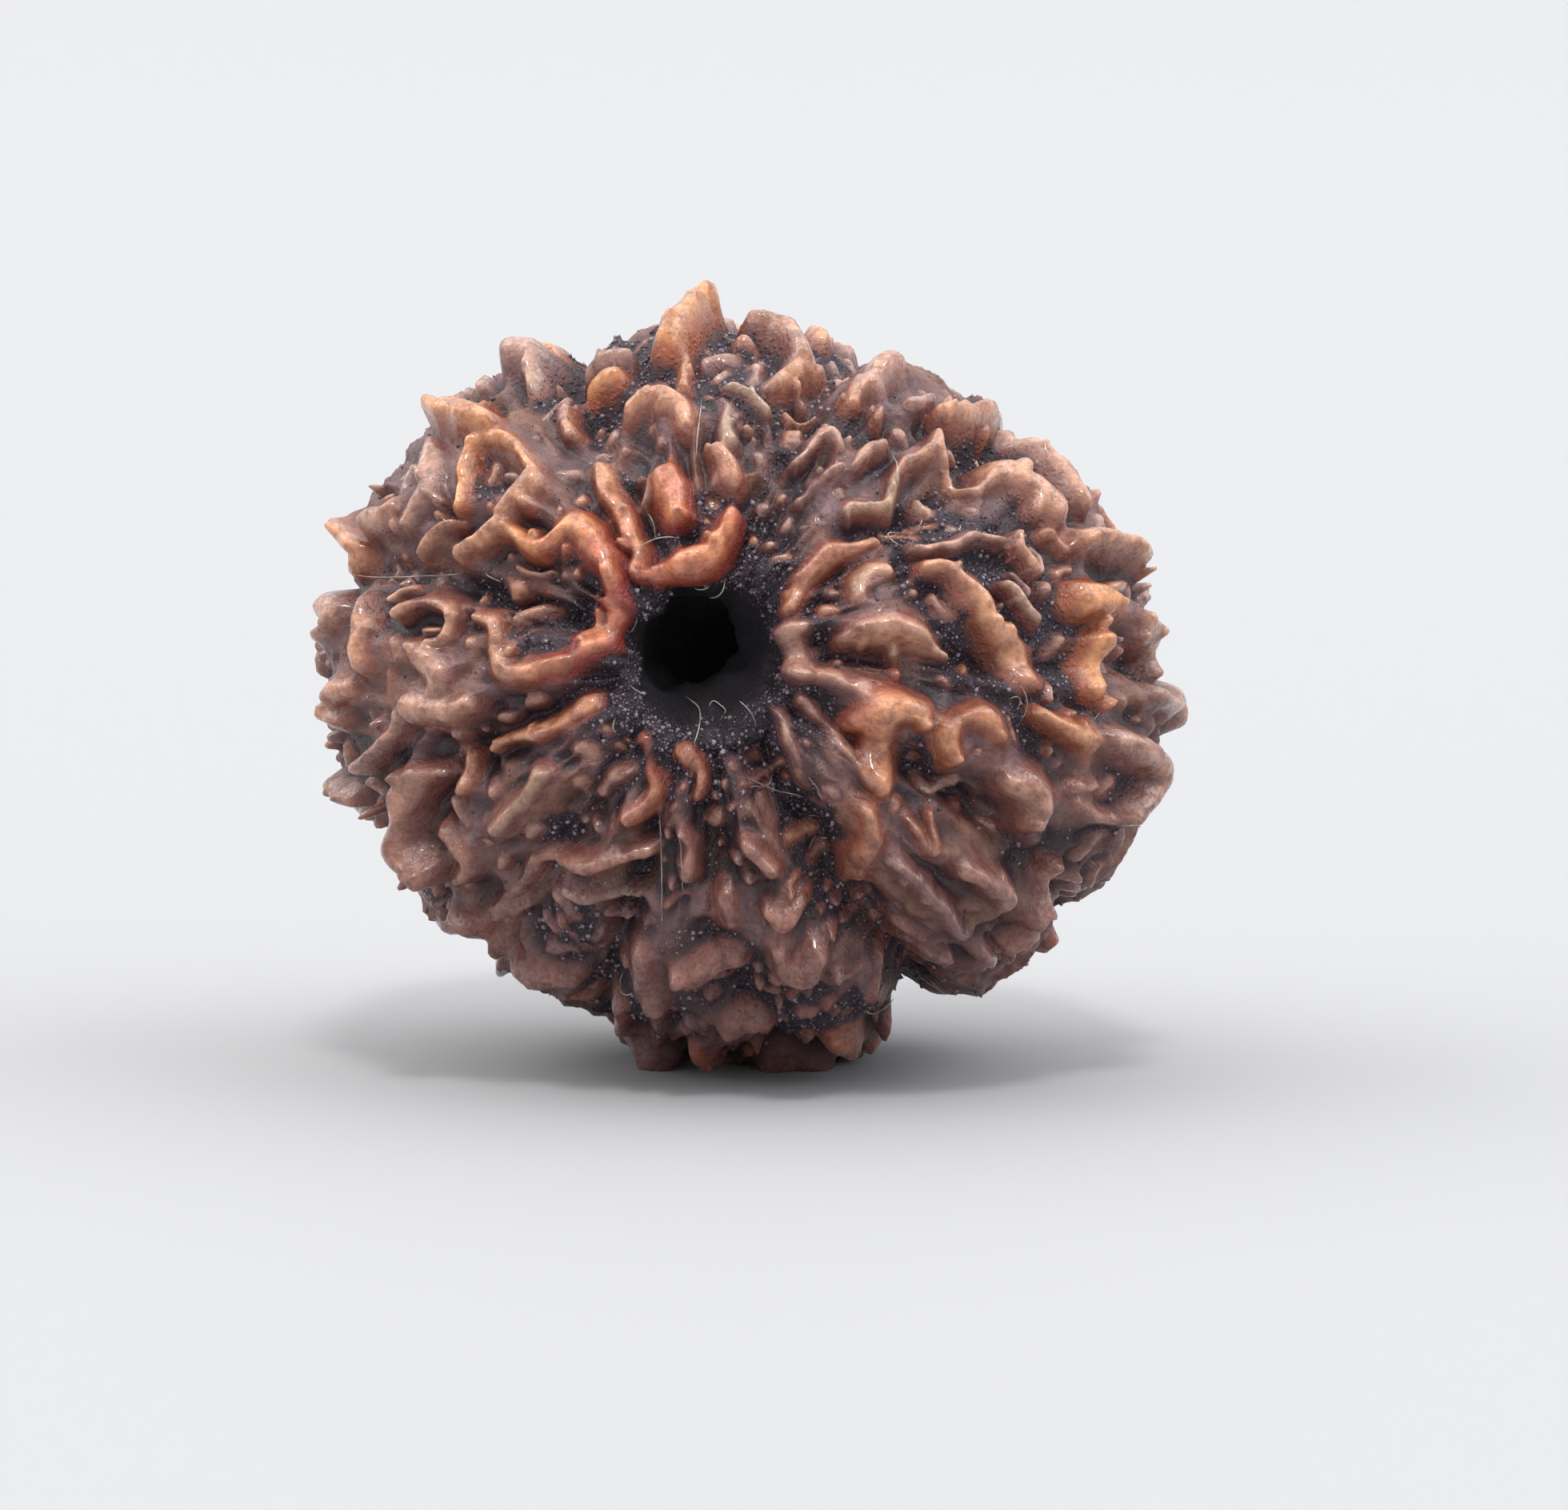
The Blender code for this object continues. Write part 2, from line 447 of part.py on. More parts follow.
def grown_ridges(ridges):
    """Ridges and knobs on the rest of the stone, grown from seeded starts wherever there is room.

    A ridge walks over the body in short steps on a curling heading. It stops where it would come
    near another ridge, a groove or a mouth, and is kept if it has got far enough.
    """
    rng = np.random.default_rng(SEED)
    taken = np.concatenate([path for path, _, _ in ridges])
    taken_width = np.concatenate([np.broadcast_to(width, len(path)) for path, width, _ in ridges])
    kinds = (
        # tries, fewest and most steps, narrowest and widest half width, most curl for each step
        (1000, 4, 11, 0.40 * MM, 0.60 * MM, 0.34),
        (1000, 2, 6, 0.32 * MM, 0.56 * MM, 0.50),
        (1200, 1, 2, 0.24 * MM, 0.46 * MM, 0.50),
    )
    grown = []
    for tries, fewest, most, narrow, wide, curl_most in kinds:
        for _ in range(tries):
            point = onto_stone(rng.normal(size=3))
            towards = facing(point)
            gap = NEAR_RIDGE_GAP if towards > NEAR_FACING else RIDGE_GAP
            heading = np.cross(point, rng.normal(size=3))
            steps = rng.integers(fewest, most + 1)
            curl = rng.uniform(-curl_most, curl_most)
            width = rng.uniform(narrow, wide)
            path = []
            for _ in range(steps):
                room = np.linalg.norm(taken - point, axis=1) - taken_width - width
                by_groove = min(groove_distance(point, k) for k in range(len(GROOVE_ANGLES)))
                by_mouth = math.hypot(point[0], point[2])
                if room.min() < gap or by_groove < width + 0.1 * MM or by_mouth < MOUTH_CLEARANCE:
                    break
                path.append(point)
                up = point / np.linalg.norm(point)
                heading = heading - up * (heading @ up)
                heading /= np.linalg.norm(heading)
                heading += curl * np.cross(up, heading)
                point = onto_stone(point + GROWTH_STEP * heading)
            if len(path) < fewest:
                continue
            path = np.array(path)
            widths = width * (1 - 0.25 * np.abs(np.linspace(-1, 1, len(path))) ** 3)
            lower = EDGE_LOWERING * math.exp(-(((towards - EDGE_FACING) / EDGE_FACING_SPREAD) ** 2))
            lift = ridge_lift(width) * (1 - lower)
            if spoils_outline(path, lift):
                continue
            grown.append((path, widths, lift))
            taken = np.concatenate((taken, path))
            taken_width = np.concatenate((taken_width, widths))
    return grown


def ridge_heights(points, ridges):
    """Height that the ridges give each point.

    Across a ridge the height falls off as (1 - s) exp(-(f u)^k) + s exp(-(u / w)^2), a steep crest on a
    low skirt, with u the distance to its crest line in half widths. Where ridges meet, the highest one
    wins, with a rounded join: (sum of h^m)^(1/m).
    """
    total = np.zeros(len(points))
    for path, widths, lift in ridges:
        middle = path.mean(axis=0)
        reach = np.linalg.norm(path - middle, axis=1).max() + 4 * widths.max()
        near = np.flatnonzero(((points - middle) ** 2).sum(axis=1) < reach**2)
        p = points[near]
        best = np.full(len(p), np.inf)
        starts = path[:-1] if len(path) > 1 else path
        ends = path[1:] if len(path) > 1 else path
        for k, (a, b) in enumerate(zip(starts, ends)):
            line = b - a
            t = np.clip((p - a) @ line / max(line @ line, 1e-12), 0, 1)
            width = widths[k] + t * (widths[min(k + 1, len(path) - 1)] - widths[k])
            best = np.minimum(best, np.linalg.norm(p - a - t[:, None] * line, axis=1) / width)
        across = (1 - RIDGE_SKIRT) * np.exp(-((RIDGE_FOOT * best) ** RIDGE_STEEPNESS))
        across += RIDGE_SKIRT * np.exp(-((best / RIDGE_SKIRT_WIDTH) ** 2))
        total[near] += (lift * across) ** RIDGE_BLEND
    return total ** (1 / RIDGE_BLEND)


def groove_heights(points):
    """Depth of the grooves, below zero, and the crown of the lobe between two grooves, above it."""
    nearest = np.full(len(points), np.inf)
    depth = np.zeros(len(points))
    for number, angle in enumerate(GROOVE_ANGLES):
        wide = angle == WIDE_GROOVE_ANGLE
        half_width = WIDE_GROOVE_HALF_WIDTH if wide else GROOVE_HALF_WIDTH
        deepest = WIDE_GROOVE_DEPTH if wide else GROOVE_DEPTH
        off = groove_distance(points, number)
        depth = np.maximum(depth, deepest * np.exp(-((off / half_width) ** 2)))
        nearest = np.minimum(nearest, off)
    return LOBE_CROWN * smooth_step(nearest, 0, LOBE_RISE) - depth


def swell(points):
    """A slow seeded unevenness, made of plane waves, and a bulge where the stone stands."""
    rng = np.random.default_rng(SEED + 1)
    off = to_world(points) - STONE_CENTRE
    height = (off[:, 2] < 0) * FOOT_SWELL * np.exp(-(off[:, 0] ** 2 + off[:, 1] ** 2) / FOOT_SWELL_REACH**2)
    for _ in range(SWELL_WAVES):
        direction = rng.normal(size=3)
        wave = 2 * math.pi / rng.uniform(SWELL_SHORTEST, SWELL_LONGEST) * direction / np.linalg.norm(direction)
        height += SWELL_HEIGHT * np.sin(points @ wave + rng.uniform(0, 2 * math.pi))
    return height


def stone_surface(along, around):
    """The finished surface as a grid of world points that closes both ways."""
    body, outside = body_grid(along, around)
    normals = grid_normals(body)
    flat = body.reshape(-1, 3)
    placed = seen_ridges() + foot_ridges()
    ridges = placed + grown_ridges(placed)
    height = (ridge_heights(flat, ridges) + groove_heights(flat) + swell(flat)).reshape(body.shape[:2])
    return to_world(body + (height * outside)[..., None] * normals)


def make_material():
    """Brown, woody stone with a slight polish."""
    material = bpy.data.materials.new("rudraksha_stone")
    material.use_nodes = True
    shader = material.node_tree.nodes["Principled BSDF"]
    shader.inputs["Base Color"].default_value = (0.17, 0.075, 0.05, 1)
    shader.inputs["Roughness"].default_value = 0.48
    shader.inputs["Metallic"].default_value = 0.0
    material.diffuse_color = (0.42, 0.26, 0.21, 1)
    return material


def make_bead():
    """The stone as one closed mesh of quads, thinned to the solid's number of triangles."""
    grid = stone_surface(GRID_ALONG, GRID_ROUND)
    rows, columns = grid.shape[:2]
    row, column = np.meshgrid(np.arange(rows), np.arange(columns), indexing="ij")
    next_row, next_column = (row + 1) % rows, (column + 1) % columns
    corners = ((row, column), (next_row, column), (next_row, next_column), (row, next_column))
    faces = np.stack([r * columns + c for r, c in corners], axis=-1).reshape(-1, 4)
    mesh = bpy.data.meshes.new("rudraksha_bead")
    mesh.from_pydata(grid.reshape(-1, 3).tolist(), [], faces.tolist())
    mesh.materials.append(make_material())
    mesh.shade_smooth()
    bead = bpy.data.objects.new("rudraksha_bead", mesh)
    bpy.context.scene.collection.objects.link(bead)
    thin = bead.modifiers.new("thin", "DECIMATE")
    thin.decimate_type = "COLLAPSE"
    thin.ratio = SOLID_TRIANGLES / (2 * len(faces))
    thin.use_collapse_triangulate = True
    return bead


def flatten_foot(bead):
    """Cuts off the crests that reach below the resting surface."""
    half = GROUND_BLOCK / 2
    corners = [(x, y, z) for x in (-half, half) for y in (-half, half) for z in (-GROUND_BLOCK, 0)]
    sides = [(0, 1, 3, 2), (4, 6, 7, 5), (0, 4, 5, 1), (2, 3, 7, 6), (0, 2, 6, 4), (1, 5, 7, 3)]
    mesh = bpy.data.meshes.new("ground_block")
    mesh.from_pydata(corners, [], sides)
    block = bpy.data.objects.new("ground_block", mesh)
    block.hide_render = True
    block.display_type = "WIRE"
    bpy.context.scene.collection.objects.link(block)
    cut = bead.modifiers.new("foot", "BOOLEAN")
    cut.operation = "DIFFERENCE"
    cut.solver = "EXACT"
    cut.object = block


def main():
    for thing in list(bpy.data.objects):
        bpy.data.objects.remove(thing)
    flatten_foot(make_bead())


main()
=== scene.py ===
"""The looks of a rudraksha bead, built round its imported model.

The stone is made again on a much finer grid from the same formulas and ridges as its solid. It gains
what a solid can't hold: small ridges, folded ground, waving crests and a granular floor. Loose grains
and fibres lie in the valleys and in the mouth of the bore.

Metres, +Z up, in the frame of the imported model.
"""

import math

import bmesh
import bpy
import numpy as np
from mathutils import Matrix, Vector


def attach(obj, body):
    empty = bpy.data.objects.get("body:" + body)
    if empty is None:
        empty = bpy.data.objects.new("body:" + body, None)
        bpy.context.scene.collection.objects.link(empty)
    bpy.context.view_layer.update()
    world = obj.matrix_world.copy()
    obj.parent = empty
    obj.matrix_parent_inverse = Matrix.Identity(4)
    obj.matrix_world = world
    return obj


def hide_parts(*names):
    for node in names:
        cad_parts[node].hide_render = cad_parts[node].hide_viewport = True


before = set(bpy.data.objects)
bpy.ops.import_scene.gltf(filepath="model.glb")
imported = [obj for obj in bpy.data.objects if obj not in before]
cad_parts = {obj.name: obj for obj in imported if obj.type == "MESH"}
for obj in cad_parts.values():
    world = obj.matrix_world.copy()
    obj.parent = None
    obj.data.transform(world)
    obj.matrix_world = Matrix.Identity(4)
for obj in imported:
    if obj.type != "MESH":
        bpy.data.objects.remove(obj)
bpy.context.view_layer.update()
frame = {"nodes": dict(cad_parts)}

MM = 0.001

# Body of the stone, without its ridges
STONE_RADIUS = 11.3 * MM
STONE_HALF_LENGTH = 9.5 * MM
STONE_OVAL = 0.09
STONE_OVAL_TURN = math.radians(-12)
STONE_OVAL_FROM = 0.6 * STONE_RADIUS
STONE_SQUARENESS = 2.2
STONE_TILT = math.radians(11.5)
STONE_CENTRE = np.array((-0.25, -0.224, 11.8)) * MM

# Natural bore, with a funnel at each mouth. It slants: it runs this far beside the stone's axis behind
# the near mouth, and as far on the other side of the axis before the far mouth.
BORE_RADIUS = 1.2 * MM
MOUTH_RADIUS = 2.55 * MM
FUNNEL_POWER = 5
LIP_ROUNDING = 14
BORE_SHIFT = np.array((-0.75, 0.0, 0.85)) * MM
BORE_SHIFT_DEPTH = 3.0 * MM

# Points of the profile: its outer and inner stretch as first drawn, and the whole once it is evened out
OUTER_POINTS, INNER_POINTS, EVEN_POINTS = 2000, 1200, 600

# Grooves from mouth to mouth, at their angles about the bore as seen from the near mouth. Each wanders to
# both sides along a wave, and each wave starts a step after its neighbour's.
GROOVE_ANGLES = (5, 38, 68, 119, 167, 201, 228, 254, 276, 299, 330)
GROOVE_DEPTH = 0.55 * MM
GROOVE_HALF_WIDTH = 0.5 * MM
WIDE_GROOVE_ANGLE = 299
WIDE_GROOVE_DEPTH = 1.4 * MM
WIDE_GROOVE_HALF_WIDTH = 0.8 * MM
GROOVE_WANDER = math.radians(4)
GROOVE_BEND, GROOVE_STAGGER = 2.4, 1.7
GROOVE_CLEARANCE = 0.1 * MM
LOBE_CROWN = 0.35 * MM
LOBE_RISE = 2.2 * MM

# Slow unevenness of the whole body
SWELL_HEIGHT = 0.06 * MM
SWELL_WAVES = 6
SWELL_SHORTEST, SWELL_LONGEST = 6 * MM, 12 * MM

# Ridge crests: their lift, how it falls off across the ridge, how ridges join, and how far out they count
RIDGE_LIFT = 0.65 * MM
RIDGE_LIFT_PER_HALF_WIDTH = 1.0
RIDGE_LIFT_MOST = 1.5 * MM
RIDGE_STEEPNESS = 3
RIDGE_FOOT = 1.2
RIDGE_SKIRT = 0.24
RIDGE_SKIRT_WIDTH = 1.9
RIDGE_BLEND = 6
RIDGE_REACH = 4

# Least values that keep the ridges' formulas from dividing by nothing
LEAST_LENGTH_SQUARED, LEAST_STRENGTH, LEAST_LIFT = 1e-12, 1e-9, 0.2 * MM

# The eye that the near ridges were drawn from, and its picture
EYE_AZIMUTH = math.radians(6.5)
EYE_ELEVATION = math.radians(7)
EYE_DISTANCE = 200 * MM
PICTURE_WIDTH, PICTURE_HEIGHT = 1960, 1887
PICTURE_FOCAL = 8000
PER_PIXEL = EYE_DISTANCE / PICTURE_FOCAL
PICTURE_STONE_X, PICTURE_STONE_Y = 927, 857

# How a seen ridge is laid on the body: the points for each span of its curve, the grid that is searched for
# them, how far round the ridge in pixels, and how often its crest line is evened out
SPAN_STEPS = 5
SEEN_ALONG, SEEN_ROUND = 300, 600
SEARCH_MARGIN = 60
CREST_SMOOTHING = 5

# A point moved outwards by this factor tells which way the body faces there
OUTWARD_STEP = 1.001

# Ridges that the stone doesn't show from that eye are grown from a seed. Each kind has its number of tries,
# fewest and most steps, narrowest and widest half width, and the most that it curls with each step.
SEED = 108
GROWN_KINDS = (
    (1000, 4, 11, 0.40 * MM, 0.60 * MM, 0.34),
    (1000, 2, 6, 0.32 * MM, 0.56 * MM, 0.50),
    (1200, 1, 2, 0.24 * MM, 0.46 * MM, 0.50),
)
END_NARROWING = 0.25

# Room that a grown ridge keeps to others, more where the body faces the eye. It is lower at the body's edge.
RIDGE_GAP = 0.24 * MM
NEAR_RIDGE_GAP = 0.9 * MM
NEAR_FACING = 0.2
EDGE_FACING, EDGE_FACING_SPREAD = -0.1, 0.22
EDGE_LOWERING = 0.4
GROWTH_STEP = 0.45 * MM
MOUTH_CLEARANCE = 3.3 * MM

# Ridges seen from the eye: the crest's points in the picture, each x, y and half width in pixels
NEAR_RIDGES = {
    "crown_spike": ((876, 368, 24), (852, 390, 28), (828, 416, 26)),
    "crown_stem": ((853, 444, 12), (851, 490, 12)),
    "crown_knob": ((742, 466, 22), (758, 466, 22)),
    "crown_left_block": ((640, 436, 34), (662, 430, 34)),
    "crown_left_tip": ((692, 430, 20),),
    "crown_left_foot": ((668, 466, 20), (664, 486, 14)),
    "crown_arch": ((786, 512, 14), (821, 498, 20), (847, 512, 20), (858, 534, 16)),
    "crown_dash": ((708, 505, 12), (726, 528, 12)),
    "crown_pink_knob": ((930, 425, 15),),
    "crown_right_shoulder": ((939, 398, 15), (975, 402, 22), (1002, 430, 18)),
    "crown_right_fold": ((974, 476, 15), (994, 456, 17), (1024, 440, 17)),
    "crown_right_post": ((1070, 472, 14), (1062, 500, 14)),
    "crown_right_block": ((1082, 480, 20), (1104, 456, 28), (1118, 450, 26)),
    "crown_right_drop": ((1100, 513, 11), (1095, 532, 11)),
    "top_pale_stem": ((895, 499, 11), (906, 520, 15), (918, 548, 16)),
    "top_pale_loop": ((903, 482, 10), (932, 487, 12), (962, 506, 11)),
    "top_red_knob": ((904, 561, 18), (914, 584, 20)),
    "upper_left_bar": ((541, 502, 22), (566, 510, 26), (606, 520, 22)),
    "triangle_left": ((590, 556, 16), (580, 590, 16), (574, 634, 11)),
    "triangle_top": ((590, 556, 14), (626, 549, 14), (656, 564, 13), (672, 582, 12)),
    "triangle_right": ((675, 586, 15), (656, 620, 20), (628, 646, 13)),
    "triangle_tail": ((636, 652, 13), (618, 668, 14), (594, 684, 14), (577, 699, 12)),
    "bird_arm": ((594, 682, 12), (620, 663, 13), (648, 674, 16)),
    "bird_head": ((652, 678, 15), (682, 672, 16), (712, 648, 20), (738, 668, 24)),
    "bird_neck": ((738, 668, 24), (762, 706, 20), (776, 742, 16)),
    "high_wall": ((743, 560, 14), (753, 598, 18), (777, 634, 20), (791, 666, 18), (795, 702, 15)),
    "teardrop": ((830, 586, 24), (838, 608, 26), (844, 630, 22)),
    "teardrop_left": ((812, 596, 10), (808, 622, 10)),
    "over_mouth": (
        (815, 698, 18), (838, 711, 22), (868, 711, 22), (889, 692, 22), (904, 656, 20), (916, 630, 16),
    ),
    "hook": ((993, 569, 10), (1012, 543, 10), (1036, 538, 11), (1047, 556, 10)),
    "hook_inner": ((1006, 622, 10), (1030, 598, 11), (1049, 577, 12)),
    "short_bar": ((1072, 579, 11), (1087, 566, 13), (1106, 557, 12)),
    "white_fork_stem": ((1126, 592, 10), (1124, 624, 11)),
    "white_fork_arm": ((1124, 624, 11), (1100, 632, 12), (1072, 627, 11), (1062, 640, 9)),
    "white_fork_knob": ((1164, 616, 12), (1180, 623, 12)),
    "peak_left": ((1167, 541, 14), (1146, 564, 13), (1128, 586, 10)),
    "peak_right": ((1167, 541, 13), (1182, 566, 12), (1202, 594, 12), (1222, 604, 12), (1247, 590, 12)),
    "right_top_bar": ((1190, 514, 17), (1216, 516, 23), (1250, 508, 23)),
    "right_shoulder": ((1262, 566, 24), (1292, 590, 34), (1332, 636, 28)),
    "right_rim": ((1272, 524, 20), (1306, 558, 20), (1334, 590, 18), (1352, 628, 18)),
    "low_arch": ((1144, 676, 10), (1192, 678, 11), (1220, 670, 11), (1246, 678, 11)),
    "right_hook": ((1268, 664, 13), (1271, 688, 13), (1290, 710, 14)),
    "right_hook_next": ((1306, 664, 13), (1324, 668, 14), (1334, 686, 12)),
    "right_point": ((1360, 672, 19), (1394, 677, 20), (1422, 690, 19)),
    "arch_by_mouth": ((1100, 668, 12), (1064, 684, 15), (1030, 695, 22), (1010, 724, 18), (992, 757, 17)),
    "arch_by_mouth_foot": ((988, 793, 20), (994, 824, 26), (1014, 842, 14)),
    "lens": ((1053, 802, 14), (1100, 787, 34), (1128, 790, 34), (1162, 803, 22), (1192, 815, 9)),
    "long_ridge": (
        (1160, 699, 14), (1192, 710, 16), (1216, 738, 20), (1232, 774, 22), (1260, 804, 26), (1290, 834, 34),
    ),
    "long_ridge_ledge": ((1252, 736, 9), (1276, 752, 12), (1300, 772, 15)),
    "orange_knob_small": ((1352, 742, 20), (1376, 744, 25), (1394, 758, 20)),
    "orange_knob_large": ((1388, 800, 28), (1391, 828, 32), (1390, 858, 26)),
    "right_edge_knob": ((1434, 778, 20), (1454, 808, 24), (1458, 832, 20)),
    "right_edge_block": ((1446, 874, 20), (1474, 884, 26), (1482, 902, 22)),
    "tooth": ((1074, 902, 22), (1108, 880, 28), (1150, 885, 20)),
    "tooth_root": ((1106, 890, 26), (1102, 926, 26), (1104, 958, 27), (1110, 986, 20)),
    "mouth_to_tooth": ((1012, 838, 13), (1046, 848, 15), (1080, 868, 16)),
    "left_of_tooth": ((1011, 880, 10), (1046, 907, 11), (1058, 940, 12), (1086, 974, 11)),
    "by_wide_groove": ((984, 892, 10), (997, 945, 11), (1013, 992, 10)),
    "c_knob": ((1196, 954, 16), (1184, 916, 20), (1206, 889, 20), (1240, 896, 20), (1253, 922, 15)),
    "short_dash_right": ((1312, 897, 14), (1342, 912, 19), (1374, 932, 22)),
    "lower_right_edge": ((1402, 932, 20), (1436, 948, 24), (1444, 986, 24), (1410, 1022, 20)),
    "lower_right_block": ((1268, 984, 20), (1296, 984, 30), (1312, 1012, 30), (1306, 1044, 22)),
    "lower_right_strap": ((1350, 1004, 12), (1384, 1024, 13)),
    "lower_right_dash": ((1344, 986, 11), (1372, 982, 12)),
    "v_left": ((1142, 1026, 9), (1155, 1052, 11), (1168, 1066, 10)),
    "v_right": ((1171, 1018, 9), (1170, 1044, 10), (1168, 1066, 10)),
    "groove_side_stem": ((1084, 1012, 18), (1094, 1052, 20), (1078, 1088, 24), (1082, 1114, 20)),
    "long_low_ridge": (
        (1120, 1072, 12), (1147, 1101, 14), (1174, 1138, 15), (1202, 1171, 14), (1238, 1200, 15),
    ),
    "mid_low_ridge": ((1198, 1090, 16), (1230, 1100, 20), (1262, 1128, 21)),
    "low_red_knob": ((1338, 1096, 18), (1332, 1126, 22), (1302, 1152, 20)),
    "low_dot": ((1092, 1157, 14),),
    "bowl": ((960, 1142, 13), (982, 1152, 15), (1004, 1139, 13)),
    "low_v": ((972, 1186, 20), (996, 1220, 27), (1022, 1188, 20)),
    "low_right_dot": ((1048, 1218, 14),),
    "low_middle_block": ((862, 1222, 26), (908, 1216, 26)),
    "low_knob": ((894, 1136, 20), (898, 1162, 22)),
    "low_left_block": ((798, 1204, 22), (808, 1256, 24)),
    "foot_pale_knob": ((915, 1288, 22), (946, 1292, 22)),
    "low_right_edge_knob": ((1160, 1226, 20), (1190, 1214, 16)),
    "ring_left": ((590, 764, 12), (612, 776, 15), (614, 810, 16), (632, 836, 16), (664, 843, 16)),
    "ring_right": (
        (664, 843, 16), (700, 836, 17), (726, 818, 19), (754, 795, 20), (776, 770, 18), (764, 748, 15),
    ),
    "ring_inner": ((742, 760, 14), (738, 784, 14), (718, 806, 13)),
    "ring_top": ((640, 774, 11), (662, 760, 13), (688, 756, 12)),
    "diagonal_bar": ((606, 941, 13), (638, 922, 15), (672, 908, 16), (704, 890, 16), (742, 873, 13)),
    "left_blob_top": ((520, 828, 22), (540, 850, 26)),
    "left_blob": ((512, 888, 24), (548, 888, 26), (580, 874, 20)),
    "left_tan_knob": ((564, 955, 17), (568, 984, 18)),
    "s_ridge": ((676, 968, 16), (667, 988, 17), (646, 1012, 16), (614, 1042, 16)),
    "cup_right": ((802, 922, 13), (808, 950, 14), (816, 982, 15), (806, 1012, 16), (780, 1026, 15)),
    "cup_left": ((738, 1000, 12), (752, 974, 13), (782, 957, 12)),
    "belt": ((672, 1086, 14), (704, 1086, 16), (744, 1081, 17), (776, 1079, 17), (804, 1082, 15)),
    "belt_tail": ((660, 1092, 15), (642, 1112, 16), (624, 1136, 16), (612, 1170, 15)),
    "left_cup_wall": ((520, 978, 14), (482, 1000, 24), (468, 1036, 30), (480, 1074, 28), (516, 1094, 20)),
    "left_cup_floor": ((548, 1038, 16), (578, 1066, 18), (574, 1096, 17)),
    "left_edge_upper": ((414, 890, 17), (428, 900, 18)),
    "left_edge_lower": ((424, 980, 17), (442, 998, 18)),
    "left_diagonal": ((450, 954, 17), (478, 930, 18), (502, 898, 17)),
    "low_left_edge": ((562, 1160, 17), (588, 1174, 18), (606, 1206, 18)),
    "low_left_inner": ((640, 1148, 15), (622, 1166, 16), (628, 1198, 16)),
    "thin_stem": ((848, 932, 10), (868, 962, 11), (877, 1006, 10)),
    "mid_post": ((855, 1058, 14), (857, 1104, 13)),
    "mid_post_right": ((940, 1056, 15), (962, 1092, 18)),
    "crumb_row": ((700, 1117, 10), (738, 1123, 11), (796, 1134, 10)),
    "left_edge_top": ((417, 660, 22), (430, 684, 24), (420, 702, 22)),
    "left_top_bar": ((458, 650, 22), (478, 642, 24), (494, 628, 20)),
    "left_top_wall": ((540, 556, 16), (541, 590, 20), (531, 620, 20), (513, 648, 16)),
    "left_dash": ((520, 686, 13), (546, 666, 16), (566, 658, 14)),
    "left_edge_middle": ((404, 752, 22), (414, 770, 24), (404, 792, 22)),
    "left_pillar": ((452, 752, 18), (454, 796, 20), (458, 834, 18)),
    "small_ring_left": ((496, 766, 12), (514, 746, 13), (540, 741, 13), (556, 760, 13)),
    "small_ring_right": ((556, 760, 13), (552, 790, 13), (534, 812, 13), (516, 806, 12)),
    "left_low_pillar": ((416, 870, 17), (444, 858, 17)),
    "crown_saddle": ((726, 442, 16), (752, 440, 18), (778, 440, 16)),
    "behind_peak": ((1140, 506, 14), (1172, 502, 14)),
    "low_left_rim": ((640, 1214, 16), (676, 1226, 17), (710, 1236, 16)),
    "low_right_rim": ((1112, 1232, 14), (1090, 1256, 14)),
    "low_right_row": ((1138, 1214, 15), (1168, 1220, 16)),
    "low_right_corner": ((1262, 1186, 15), (1290, 1168, 16)),
    "low_right_inner": ((1128, 1176, 13), (1156, 1186, 14)),
    "foot_left_side": ((764, 1270, 16), (776, 1310, 18)),
}
# Places just outside the stone's outline in the picture where no grown ridge may show
CLEAR_PLACES = (
    (1165, 450), (1200, 475), (780, 402), (502, 539), (472, 575), (513, 1143), (560, 1215), (660, 1250),
    (700, 1276), (1150, 1262), (1228, 1257), (1280, 1235), (1380, 1150), (1405, 1115), (1429, 1073),
    (1466, 986),
)
CLEAR_REACH = 42

# Crests that the stone stands on: both ends, from the place under the stone's middle, and the lift, in
# millimetres
FOOT_RIDGES = {
    "foot_left_near": ((-3.6, -1.6), (-2.6, -2.2), 1.7),
    "foot_left_far": ((-3.3, 1.4), (-2.4, 2.2), 1.7),
    "foot_right_near": ((1.7, -2.2), (2.7, -1.6), 1.7),
    "foot_right_far": ((1.9, 2.2), (2.8, 1.3), 1.7),
    "foot_middle": ((-0.7, 0.1), (0.7, -0.1), 0.9),
}
FOOT_HALF_WIDTH = 0.85 * MM
FOOT_SWELL = 0.8 * MM
FOOT_SWELL_REACH = 3.8 * MM

# Ridges that stand higher than their width gives
EXTRA_LIFT = {
    "crown_spike": 0.5 * MM,
    "crown_right_shoulder": 0.25 * MM,
    "crown_left_block": 0.2 * MM,
    "upper_left_bar": 0.3 * MM,
    "right_point": 0.3 * MM,
    "left_edge_top": 0.2 * MM,
    "crown_saddle": 0.3 * MM,
    "left_cup_wall": 0.8 * MM,
    "lower_right_edge": 0.2 * MM,
    "low_left_edge": 0.5 * MM,
    "low_left_rim": 0.2 * MM,
    "foot_left_side": 0.3 * MM,
}

